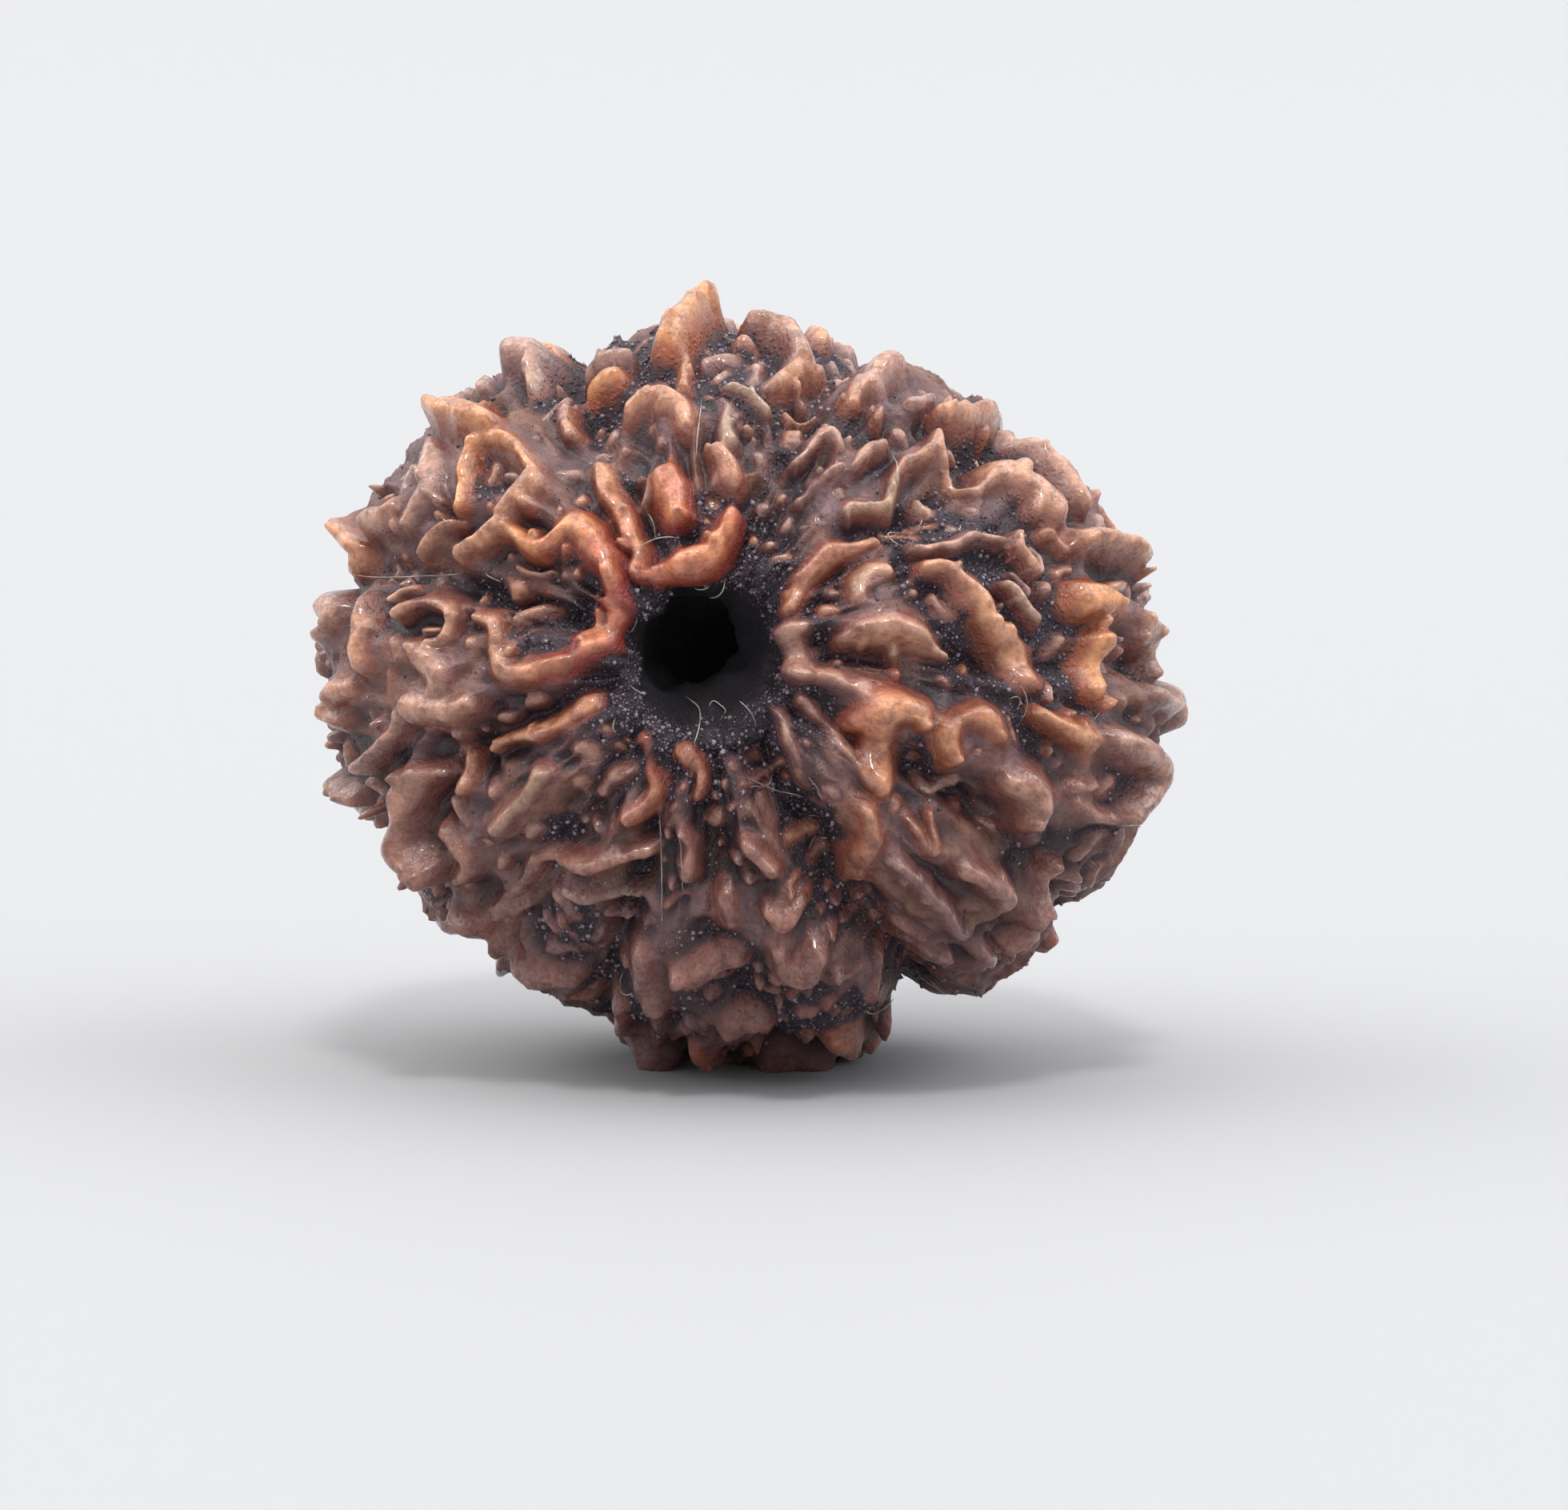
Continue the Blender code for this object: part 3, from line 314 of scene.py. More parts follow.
# How warm each ridge's wood is: 0 mauve, 0.5 brown, 1 orange. A ridge with no entry is 0.35.
RIDGE_WARMTH = {
    "crown_spike": 1.0, "crown_stem": 0.7, "crown_knob": 0.95, "crown_left_block": 0.1, "crown_left_tip": 0.9,
    "crown_left_foot": 0.4, "crown_arch": 0.6, "crown_dash": 0.5, "crown_pink_knob": 0.6,
    "crown_right_shoulder": 0.3, "crown_right_fold": 0.5, "crown_right_post": 0.6, "crown_right_block": 0.4,
    "crown_right_drop": 0.5, "top_pale_stem": 0.1, "top_pale_loop": 0.2, "top_red_knob": 0.5,
    "upper_left_bar": 0.9, "triangle_left": 0.95, "triangle_top": 0.85, "triangle_right": 0.6,
    "triangle_tail": 0.5, "bird_arm": 0.8, "bird_head": 1.0, "bird_neck": 1.0, "high_wall": 0.65,
    "teardrop": 1.0, "teardrop_left": 0.3, "over_mouth": 1.0, "hook": 0.2, "hook_inner": 0.2,
    "short_bar": 0.3, "white_fork_stem": 0.4, "white_fork_arm": 0.4, "white_fork_knob": 0.4,
    "peak_left": 0.4, "peak_right": 0.4, "right_top_bar": 0.6, "right_shoulder": 0.45, "right_rim": 0.35,
    "low_arch": 0.2, "right_hook": 0.5, "right_hook_next": 0.6, "right_point": 0.6,
    "arch_by_mouth": 0.55, "arch_by_mouth_foot": 0.2, "long_ridge": 0.65, "long_ridge_ledge": 0.3,
    "orange_knob_small": 1.0, "orange_knob_large": 1.0, "right_edge_knob": 0.3, "right_edge_block": 0.25,
    "tooth": 0.75, "tooth_root": 0.7, "mouth_to_tooth": 0.3, "left_of_tooth": 0.2, "by_wide_groove": 0.15,
    "c_knob": 0.8, "short_dash_right": 0.8, "lower_right_edge": 0.25, "lower_right_strap": 0.4,
    "v_left": 0.5, "v_right": 0.5, "groove_side_stem": 0.6, "long_low_ridge": 0.15, "mid_low_ridge": 0.3,
    "low_dot": 0.3, "bowl": 0.4, "low_v": 0.3, "low_right_dot": 0.2, "low_middle_block": 0.4,
    "low_left_block": 0.25, "foot_pale_knob": 0.4, "low_right_edge_knob": 0.2, "ring_left": 0.5,
    "ring_right": 0.9, "ring_inner": 0.8, "diagonal_bar": 0.6, "left_blob_top": 0.3, "left_blob": 0.35,
    "left_tan_knob": 0.6, "cup_right": 0.6, "cup_left": 0.2, "belt_tail": 0.3, "left_edge_upper": 0.5,
    "left_diagonal": 0.3, "low_left_inner": 0.3, "thin_stem": 0.5, "mid_post": 0.25, "mid_post_right": 0.3,
    "crumb_row": 0.2, "left_edge_top": 0.75, "left_top_wall": 0.2, "left_dash": 0.5,
    "left_edge_middle": 0.25, "left_pillar": 0.5, "small_ring_left": 0.45, "small_ring_right": 0.45,
    "left_low_pillar": 0.5, "crown_saddle": 0.1, "behind_peak": 0.1,
}
PLAIN_WARMTH = 0.35

# Ridges worn to pale, dry wood
PALE_RIDGES = (
    "crown_left_foot", "top_pale_stem", "top_pale_loop", "white_fork_stem", "white_fork_arm",
    "white_fork_knob", "long_ridge_ledge", "foot_pale_knob", "s_ridge", "crumb_row",
)

# Grid of the fine stone before its flat stretches are thinned, and its triangles afterwards
FINE_ROUND, FINE_ALONG = 1000, 430
FINE_TRIANGLES = 190000

# Small ridges in the gaps. One that would show at a clear place of the outline keeps a share of its lift.
SMALL_RIDGE_TRIES = 6500
SMALL_RIDGE_STEPS = 4
SMALL_RIDGE_STRIDE = 0.8 * GROWTH_STEP
SMALL_RIDGE_CURL = 0.6
SMALL_RIDGE_HALF_WIDTHS = (0.15 * MM, 0.38 * MM)
SMALL_RIDGE_LIFTS = (0.35, 0.75)
SMALL_RIDGE_GAP = -0.02 * MM
OUTLINE_SHARE = 0.4

# Lumps on the shoulders of the large ridges: how far apart, their offset and half width as shares of the
# ridge's half width, and their lift as a share of its lift
KNOB_SPACING = 0.8 * MM
KNOB_OFFSET = 0.5
KNOB_HALF_WIDTHS = (0.4, 0.7)
KNOB_LIFTS = (0.75, 1.08)

# Waves of the ridges' outlines and of their crests, a broad one and a fine one of each
RIDGE_WAVE, RIDGE_WAVE_SIZE = 0.24 * MM, 1.5 * MM
FINE_RIDGE_WAVE, FINE_RIDGE_WAVE_SIZE = 0.45 * RIDGE_WAVE, 0.6 * MM
CREST_WAVE, CREST_WAVE_SIZE = 0.11 * MM, 1.0 * MM
FINE_CREST_SHARE, FINE_CREST_WAVE_SIZE = 0.7, 0.42 * CREST_WAVE_SIZE

# Folds of the ground: the space that they are read in, their bends, and the broad and the fine ones
FOLD_ROUND, FOLD_ALONG = 8.0 * MM, 5.5 * MM
FOLD_BEND, FOLD_BEND_SIZE = 0.35 * MM, 2.2 * MM
FOLD_SIZE, FOLD_SPREAD = 1.1 * MM, 0.55
FOLD_HEIGHT, FOLD_LEVEL = 0.40 * MM, 0.4
FINE_FOLD_SIZE, FINE_FOLD_SPREAD = 0.5 * MM, 0.6
FINE_FOLD_HEIGHT = 0.18 * MM

# Grains of the ground: their size and height, the share of it that the lowest has, the play of their middles
# within their cells, the width of the edge where two meet, and a factor that makes a number of their own.
# The search for the nearest middle starts from a distance that is farther than any.
GRAIN_SIZE, GRAIN_HEIGHT, GRAIN_LEAST = 0.30 * MM, 0.06 * MM, 0.35
FINE_GRAIN_SIZE, FINE_GRAIN_HEIGHT, FINE_GRAIN_LEAST = 0.17 * MM, 0.03 * MM, 0.3
GRAIN_MARGIN, GRAIN_PLAY = 0.15, 0.7
GRAIN_EDGE = 0.6
GRAIN_SHUFFLE = 7.3
FARTHEST = 9.0

# Lumps of the mouth's wall, and how far from the middle of the bore they start and are full
MOUTH_WALL_WAVE, MOUTH_WALL_WAVE_SIZE = 0.34 * MM, 0.8 * MM
MOUTH_WALL_FROM, MOUTH_WALL_FULL = 2.5 * MM, 6.0 * MM

# Shares of a ridge's height up to which folds, grains and bareness cover it: wholly below the first number,
# not at all above the second
FOLDED_BELOW = (0.15, 0.8)
GRAINY_BELOW = (0.08, 0.5)
BARE_BELOW = (0.3, 0.9)

# Bare, dark places: how far they reach from the mouths, the size of the others, and how strong those are
DARK_REACH = 3.2 * MM
DARK_PATCH_SIZE = 3.2 * MM
DARK_PATCH_EDGES, DARK_PATCH_SHARE = (0.05, 0.55), 0.8
DARK_GROOVE_DEPTHS, DARK_GROOVE_SHARE = (0.1, 0.6), 0.5

# Share of broad folds and grains in what the material reads, and how far crests and the painted shade of the
# dark places hide grains
BROAD_SHARE, FINE_SHARE = 0.6, 0.4
CREST_HIDES, SHADE_HIDES = 0.7, 0.6

# Warmth and paleness of ridges that have no entry above: the odds' shape, and the worth of each kind
WARMTH_ODDS = (2, 3)
SMALL_RIDGE_WARMTH = 0.6
FOOT_WARMTH = 0.1
PALE_SHARE, PALE_WORTH = 0.05, 0.6

# Dark places seen from the eye between the ridges, partly the bead's own dark ground and partly painted shade
# in its hollows: the middle of each in the picture, and its radius there
SEEN_DARK_AND_SHADED_PLACES = {
    "by_orange_knobs": (1338, 800, 40), "below_long_ridge": (1208, 812, 38),
    "left_of_c_knob": (1150, 940, 24), "below_c_knob": (1282, 908, 30),
    "behind_white_fork": (1218, 574, 30), "below_right_top_bar": (1290, 636, 34),
    "groove_start": (1012, 1010, 34), "groove_middle": (1022, 1060, 38), "groove_end": (1036, 1120, 36),
    "in_triangle": (610, 598, 24), "below_high_wall": (628, 746, 22), "left_of_teardrop": (776, 612, 20),
    "below_teardrop": (842, 640, 16), "left_of_arch": (690, 480, 44), "right_of_arch": (792, 452, 26),
    "right_of_crown": (934, 432, 28), "below_ring": (700, 1042, 30), "low_left_hollow": (712, 1165, 42),
    "low_middle_hollow": (760, 1290, 40), "above_ring": (706, 690, 20),
}

# Depths at which the mouth's wall starts to darken and is black with painted shade, and how far red wood
# reaches from the bore
FUNNEL_LIT, FUNNEL_DARK = 0.15 * MM, 1.6 * MM
RED_FULL, RED_REACH = 3.2 * MM, 7.0 * MM

# Loose grains in the valleys: small ones are commoner by a power, and each is stretched along its own axes.
# They lie where the share of a ridge's height and the depth in the bore are below these, and above the foot.
LOOSE_GRAINS = 14000
LOOSE_GRAIN_RADIUS = (0.025 * MM, 0.11 * MM)
LOOSE_GRAIN_POWER = 3
LOOSE_GRAIN_STRETCH = (0.7, 1.3)
GRAIN_FLOOR, GRAIN_DEPTH, GRAIN_LOWEST = 0.25, 0.6, 0.3 * MM
GRAIN_ODDS_LEAST = 0.03
LUMP_CORNERS = ((1, 0, 0), (-1, 0, 0), (0, 1, 0), (0, -1, 0), (0, 0, 1), (0, 0, -1))
LUMP_SIDES = ((0, 2, 4), (2, 1, 4), (1, 3, 4), (3, 0, 4), (2, 0, 5), (1, 2, 5), (3, 1, 5), (0, 3, 5))

# Fibres: half their thickness and how fast it tapers, the points and sides of each, and a direction that
# none of them runs in, which their rings are turned from
FIBRE_RADIUS = 0.022 * MM
FIBRE_TAPER, FIBRE_TIP = 6, 0.05
FIBRE_POINTS, FIBRE_SIDES = 14, 4
FIBRE_ASIDE = (0.31, 0.83, 0.46)

# Fibres seen from the eye, by their points in the picture: how far they lie over the surface, how near in
# pixels and how much towards the eye the surface under them has to be, and how often they are evened out
FIBRE_LIFT = 0.12 * MM
FIBRE_SEARCH, FIBRE_FACING = 6, 0.05
FIBRE_SPAN_STEPS, FIBRE_SMOOTHING = 4, 4
SEEN_FIBRES = {
    "curl_in_mouth": ((858, 868), (868, 874), (874, 886), (874, 900), (868, 914), (872, 926)),
    "curl_in_mouth_short": ((884, 878), (898, 874), (906, 882), (902, 894)),
    "curl_below_mouth": ((926, 968), (944, 974), (962, 986), (980, 992), (1000, 998)),
    "curl_below_mouth_short": ((940, 986), (956, 980), (970, 972)),
    "thread_left": ((422, 722), (470, 720), (520, 719), (578, 721)),
    "thread_by_stem": ((878, 492), (876, 520), (875, 546), (874, 572)),
    "thread_low": ((826, 1022), (824, 1080), (825, 1140), (828, 1200), (830, 1276)),
    "thread_low_next": ((846, 1046), (850, 1080), (852, 1120)),
    "thread_fork": ((1112, 556), (1122, 580), (1126, 612)),
    "thread_wide_groove": ((1005, 972), (1018, 984), (1026, 1004)),
}

# Short seeded fibres: where they may grow, as for the grains, and their length, turn and rise
SHORT_FIBRES = 50
SHORT_FLOOR, SHORT_DEPTH, SHORT_LOWEST = 0.3, 0.5, 2 * MM
SHORT_ODDS_LEAST = 0.02
SHORT_LENGTHS, SHORT_TURNS, SHORT_RISES = (0.5, 1.5), (0.6, 3.0), (0.05, 0.35)
SHORT_ARCH = 0.8

# Large odd factors that scramble a cell's numbers, and the bits that are kept
CELL_FACTORS = (73856093, 19349663, 83492791)
SEED_FACTOR, SECOND_FACTOR = 2654435761, 1274126177
NUMBER_FACTORS = (40503, 30011, 52361)
KEPT_BITS, NUMBER_BITS = 0x3FFFFFFF, 0xFFFF


def paint(red, green, blue):
    """A colour as it looks on a screen, from 0 to 255, as the light values that a shader takes."""
    screen = np.array((red, green, blue)) / 255
    light = np.where(screen <= 0.04045, screen / 12.92, ((screen + 0.055) / 1.055) ** 2.4)
    return (*light.tolist(), 1.0)


# Colours of the stone, and the heights between which its crests turn from a painted shade, their flank's
# colour, to bright
# The bore's colour is a painted shade, the near black deep inside the bore
BORE_SHADE = paint(24, 21, 27)
BARE_GAP, BARE_GRAIN, DUST = paint(46, 37, 46), paint(92, 76, 88), paint(150, 134, 146)
SPECK = paint(156, 138, 144)
FOLD_GAP, FOLD_MAUVE, FOLD_BROWN = paint(54, 41, 48), paint(118, 89, 91), paint(128, 90, 76)
FLANK_MAUVE, FLANK_ORANGE, FLANK_RED = paint(106, 76, 78), paint(152, 84, 58), paint(136, 56, 48)
CREST_MAUVE, CREST_ORANGE, CREST_RED = paint(184, 146, 134), paint(226, 158, 104), paint(218, 124, 100)
CREST_PALE = paint(186, 158, 132)
STREAK = paint(128, 92, 90)
SHADED_CREST_HEIGHTS, SHADED_CREST_LEAST = (3 * MM, 15 * MM), 0.15
GRIT_DARK, GRIT_PALE = paint(76, 63, 74), paint(160, 146, 156)
FIBRE_GREY, FIBRE_PALE = paint(120, 114, 108), paint(180, 170, 156)

# Patterns of the wood: sizes, detail and roughness of the noises, and depths of the fine relief
NOISE_DETAIL, NOISE_ROUGHNESS, WOOD_ROUGHNESS = 3.0, 0.55, 0.6
BLOTCH_SIZE, BLOTCH_DETAIL = 2.2 * MM, 2.0
STREAK_SIZE, STREAK_DETAIL, STREAK_SWAY = 0.45 * MM, 4.0, 0.5
PORE_SIZE, DULL_SIZE = 0.14 * MM, 0.9 * MM
DUST_SIZE, DUST_SHARE, SPECK_SIZE = 0.17 * MM, 0.9, 0.12 * MM
PORE_DEPTH, PEBBLE_DEPTH, SPECK_DEPTH, STREAK_DEPTH = 0.024 * MM, 0.06 * MM, 0.04 * MM, 0.10 * MM
PEBBLE_STRENGTH = 0.8
WOOD_IOR = 1.5

# How the wood's values turn into shares of a paint or of a roughness: from the first number to the second,
# and for some between the third and the fourth instead of 0 and 1
WOOD_SPANS = {
    "red_warmth": (0.3, 0.9), "bare_grain": (0.1, 0.8), "dust_dot": (0.34, 0.10), "dust_chosen": (0.45, 0.85),
    "brown_blotch": (0.38, 0.62), "fold_top": (0.15, 0.85), "bare_ground": (0.15, 0.75),
    "speck_dot": (0.36, 0.14), "speck_chosen": (0.6, 0.9), "speck_share": (0.35, 0.65, 0.1, 0.7),
    "red_blotch": (0.4, 0.6, 0.35, 1.0), "dull_blotch": (0.35, 0.65, 0.0, 0.5),
    "pale_share": (0.3, 0.6, 0.2, 0.8), "flank_rise": (0.16, 0.52), "crest_rise": (0.55, 1.0),
    "streak_share": (0.32, 0.68, 0.0, 0.55), "crest_polish": (0.1, 0.9, 0.42, 0.24),
    "pore_roughness": (0.3, 0.7, -0.06, 0.10), "bare_roughness": (0.2, 0.9, 0.0, 0.2),
    "bore_roughness": (0.0, 0.5, 0.0, 0.5), "gloss_crest": (0.3, 0.9), "gloss_break": (0.42, 0.56),
    "pebble_dot": (0.5, 0.1), "speck_floor": (0.5, 0.2),
}

# Patterns of the grains and fibres: sizes, and the spans of their mixes as above
GRIT_SIZE, GRIT_PALE_SPAN, GRIT_DARK_SPAN = 0.1 * MM, (0.4, 1.0), (0.3, 0.7, 0.0, 0.4)
STRAW_SIZE, STRAW_SPAN = 0.6 * MM, (0.35, 0.65)

# Sockets of the colour mixer that share their names with others: its two colours, and its result
COLOUR_FIRST, COLOUR_LAST, COLOUR_RESULT = 6, 8, 2

# The table: its flat part, the bend that starts the slope round it, and how far the slope goes on
TABLE = paint(161, 162, 165)
TABLE_INNER, TABLE_FLAT = 300 * MM, 600 * MM
BACKDROP_BEND, BACKDROP_REACH = 900 * MM, 8000 * MM
BACKDROP_SLOPE = math.radians(25)
BACKDROP_STEPS, BACKDROP_SIDES = 16, 128
WELD_DISTANCE = 0.01 * MM

# The camera's film, and the nearest and farthest that it sees
FILM_WIDTH = 36
CAMERA_NEAR, CAMERA_FAR = 10 * MM, 10

# The lights: the side that each comes from, its spread, strength and colour
LIGHTS = (
    ("overhead", (0.0, 0.15, 1.0), math.radians(100), 2.7, (1.0, 0.985, 0.96)),
    ("left_window", (-1.0, 0.0, 0.35), math.radians(80), 2.8, (1.0, 0.985, 0.96)),
    ("right_window", (1.0, 0.0, 0.35), math.radians(80), 2.9, (0.96, 0.98, 1.0)),
    ("high_window", (0.1, -0.5, 1.0), math.radians(10), 1.2, (1.0, 0.985, 0.96)),
)
SKY_COLOUR, SKY_STRENGTH = (0.98, 0.985, 1.0), 0.50


def to_world(points):
    """Places points of the stone's own frame: its near mouth turns up, and it is lifted off the surface."""
    c, s = math.cos(STONE_TILT), math.sin(STONE_TILT)
    turn = np.array(((1, 0, 0), (0, c, s), (0, -s, c)))
    return points @ turn.T + STONE_CENTRE


def eye_axes():
    """The eye's right, up and forward directions."""
    ca, sa = math.cos(EYE_AZIMUTH), math.sin(EYE_AZIMUTH)
    ce, se = math.cos(EYE_ELEVATION), math.sin(EYE_ELEVATION)
    right = np.array((ca, sa, 0.0))
    up = np.array((-sa * se, ca * se, ce))
    forward = np.array((-sa * ce, ca * ce, -se))
    return right, up, forward


def eye_place():
    """Where the eye is, so that it sees the stone's middle at its place in the picture."""
    right, up, forward = eye_axes()
    aim = (
        STONE_CENTRE
        + right * (PICTURE_WIDTH / 2 - PICTURE_STONE_X) * PER_PIXEL
        - up * (PICTURE_HEIGHT / 2 - PICTURE_STONE_Y) * PER_PIXEL
    )
    return aim - forward * EYE_DISTANCE


def picture_place(points):
    """Where the eye sees world points: x and y in the picture's pixels, and the direction towards the eye."""
    right, up, forward = eye_axes()
    ray = points - eye_place()
    depth = ray @ forward
    x = PICTURE_WIDTH / 2 + PICTURE_FOCAL * (ray @ right) / depth
    y = PICTURE_HEIGHT / 2 - PICTURE_FOCAL * (ray @ up) / depth
    return x, y, -ray / np.linalg.norm(ray, axis=-1, keepdims=True)


def smooth_step(value, low, high):
    """0 below low, 1 above high, and an even S between them."""
    t = np.clip((value - low) / (high - low), 0, 1)
    return t * t * (3 - 2 * t)


def oval(angle, radius):
    """The stone's width as a share of a round one's, at an angle about the bore and a distance from it."""
    spread = smooth_step(radius, MOUTH_RADIUS, STONE_OVAL_FROM)
    return 1 + STONE_OVAL * np.cos(2 * (angle - STONE_OVAL_TURN)) * spread


def onto_stone(points):
    """Moves points towards or away from the stone's middle until they lie on its body.

    The body is a superellipse turned about the bore: (radius / R)^n + (|y| / H)^n = 1.
    """
    radius = np.hypot(points[..., 0], points[..., 2])
    angle = np.arctan2(points[..., 2], points[..., 0])
    wide = STONE_RADIUS * oval(angle, radius)
    level = (radius / wide) ** STONE_SQUARENESS
    level += (np.abs(points[..., 1]) / STONE_HALF_LENGTH) ** STONE_SQUARENESS
    return points / level[..., None] ** (1 / STONE_SQUARENESS)


def around_loop(columns, step, count):
    """Reads the columns of a closed loop at count even places, with step the length of each span."""
    along = np.concatenate(((0,), np.cumsum(step)))
    places = np.linspace(0, along[-1], count, endpoint=False)
    return [np.interp(places, along, np.append(column, column[0])) for column in columns]


def stone_profile(count):
    """The closed profile of the stone as count points (radius, y), and each point's share of outer surface.

    The outer stretch is the superellipse radius = R cos(t)^(2/n), y = H sin(t)^(2/n), as far in as the
    mouths. The inner stretch is the bore, whose radius grows to the mouth's by (|y| / length)^power.
    """
    power = 2 / STONE_SQUARENESS
    edge = math.acos((MOUTH_RADIUS / STONE_RADIUS) ** (1 / power))
    t = np.linspace(-edge, edge, OUTER_POINTS)
    outer = np.stack(
        (
            STONE_RADIUS * np.cos(t) ** power,
            STONE_HALF_LENGTH * np.sign(t) * np.abs(np.sin(t)) ** power,
        ),
        axis=1,
    )
    mouth_y = outer[-1, 1]
    y = np.linspace(mouth_y, -mouth_y, INNER_POINTS)[1:-1]
    flare = (np.abs(y) / mouth_y) ** FUNNEL_POWER
    inner = np.stack((BORE_RADIUS + (MOUTH_RADIUS - BORE_RADIUS) * flare, y), axis=1)
    loop = np.concatenate((outer, inner))
    outside = np.concatenate((np.ones(len(outer)), np.zeros(len(inner))))

    # Even the spacing out, with the bore's points twice as far apart, and round the two lips
    step = np.linalg.norm(np.roll(loop, -1, axis=0) - loop, axis=1)
    step *= np.where(outside > 0, 1.0, 0.5)
    columns = around_loop((loop[:, 0], loop[:, 1], outside), step, EVEN_POINTS)
    for _ in range(LIP_ROUNDING):
        columns = [(np.roll(c, 1) + 2 * c + np.roll(c, -1)) / 4 for c in columns]
    return around_loop(columns, np.ones(EVEN_POINTS), count)


def body_grid(along, around):
    """The stone's body without ridges, a grid of points that closes both ways, and their outer shares."""
    radius, y, outside = (column[:, None] for column in stone_profile(along))
    angle = np.linspace(0, 2 * math.pi, around, endpoint=False)[None, :]
    wide = radius * oval(angle, radius)
    inside = smooth_step(STONE_HALF_LENGTH - np.abs(y), 0, BORE_SHIFT_DEPTH) * (1 - outside)
    slant = np.clip(-y / (STONE_HALF_LENGTH - BORE_SHIFT_DEPTH), -1, 1)
    points = np.stack(np.broadcast_arrays(wide * np.cos(angle), y, wide * np.sin(angle)), axis=-1)
    points = points + (inside * slant)[..., None] * BORE_SHIFT
    return points, np.broadcast_to(outside, points.shape[:2])


def grid_normals(points):
    """Unit normals of a grid that closes both ways, pointing out of the stone."""
    along = np.roll(points, -1, axis=0) - np.roll(points, 1, axis=0)
    around = np.roll(points, -1, axis=1) - np.roll(points, 1, axis=1)
    normal = np.cross(along, around)
    return normal / np.linalg.norm(normal, axis=-1, keepdims=True)


def evened(line, times):
    """The line with each inner point drawn towards its two neighbours, a number of times over."""
    for _ in range(times):
        line[1:-1] = (line[:-2] + 2 * line[1:-1] + line[2:]) / 4
    return line


def smooth_path(points, per_span=SPAN_STEPS):
    """A Catmull-Rom curve through the points of a ridge, its width carried along with it."""
    p = np.array(points, float)
    if len(p) == 1:
        return p
    ends = np.concatenate((2 * p[:1] - p[1:2], p, 2 * p[-1:] - p[-2:-1]))
    t = np.linspace(0, 1, per_span, endpoint=False)[:, None]
    spans = []
    for a, b, c, d in zip(ends, ends[1:], ends[2:], ends[3:]):
        bend = (2 * a - 5 * b + 4 * c - d) * t**2
        turn = (3 * b - a - 3 * c + d) * t**3
        spans.append(0.5 * (2 * b + (c - a) * t + bend + turn))
    return np.concatenate((*spans, p[-1:]))


def ridge_lift(half_width):
    """Crest height of a ridge: broader ridges stand higher, up to a limit."""
    return min(RIDGE_LIFT + RIDGE_LIFT_PER_HALF_WIDTH * half_width, RIDGE_LIFT_MOST)


def seen_ridges():
    """The near ridges on the stone's body: a point goes where its crest is seen nearest to its pixel.

    Near the stone's edge a pixel says little about depth, so each line is then evened out along itself.
    """
    body, outside = body_grid(SEEN_ALONG, SEEN_ROUND)
    normals = grid_normals(body)
    keep = outside > 0.5
    body, normals = body[keep], normals[keep]
    ridges = []
    for name, points in NEAR_RIDGES.items():
        path = smooth_path(points)
        lift = ridge_lift(path[:, 2].mean() * PER_PIXEL) + EXTRA_LIFT.get(name, 0)
        raised = to_world(body + lift * normals)
        x, y, towards = picture_place(raised)
        facing = np.einsum("ij,ij->i", to_world(body + normals) - to_world(body), towards)
        reach = SEARCH_MARGIN + np.ptp(path[:, :2], axis=0).max()
        near = (facing > 0) & (np.hypot(x - path[0, 0], y - path[0, 1]) < reach)
        distance = np.hypot(x[near] - path[:, :1], y[near] - path[:, 1:2])
        line = evened(body[near][distance.argmin(axis=1)], CREST_SMOOTHING)
        ridges.append((onto_stone(line), path[:, 2] * PER_PIXEL, lift))
    return ridges


def foot_ridges():
    """The crests that the stone stands on, each under its own two places on the surface."""
    c, s = math.cos(STONE_TILT), math.sin(STONE_TILT)
    back = np.array(((1, 0, 0), (0, c, s), (0, -s, c)))
    ridges = []
    for start, end, lift in FOOT_RIDGES.values():
        ends = np.array(((*start, 0), (*end, 0))) * MM - STONE_CENTRE * (0, 0, 1)
        ridges.append((onto_stone(ends @ back), np.full(2, FOOT_HALF_WIDTH), lift * MM))
    return ridges


def facing(point):
    """How far the body faces the eye at a point: 1 straight towards it, 0 at its edge, below 0 behind."""
    outward = to_world(OUTWARD_STEP * point) - to_world(point)
    towards = picture_place(to_world(point))[2]
    return outward @ towards / np.linalg.norm(outward)


def spoils_outline(path, lift):
    """Whether the crest of a ridge would show at one of the picture's clear places."""
    crest = to_world(path * (1 + lift / np.linalg.norm(path, axis=1, keepdims=True)))
    x, y, _ = picture_place(crest)
    clear = np.array(CLEAR_PLACES)
    return np.hypot(x - clear[:, :1], y - clear[:, 1:]).min() < CLEAR_REACH


def groove_distance(points, number):
    """Distance across the surface from points to one groove, which wanders a little from mouth to mouth."""
    angle = np.arctan2(points[..., 2], points[..., 0])
    middle = math.radians(GROOVE_ANGLES[number])
    along = points[..., 1] / STONE_HALF_LENGTH
    wander = GROOVE_WANDER * np.sin(along * GROOVE_BEND + GROOVE_STAGGER * number)
    off = np.abs((angle - middle - wander + math.pi) % (2 * math.pi) - math.pi)
    return off * np.hypot(points[..., 0], points[..., 2])


def crest_points(ridges):
    """All points of the ridges' crest lines, and the ridge's half width at each."""
    points = np.concatenate([path for path, _, _ in ridges])
    widths = np.concatenate([np.broadcast_to(width, len(path)) for path, width, _ in ridges])
    return points, widths


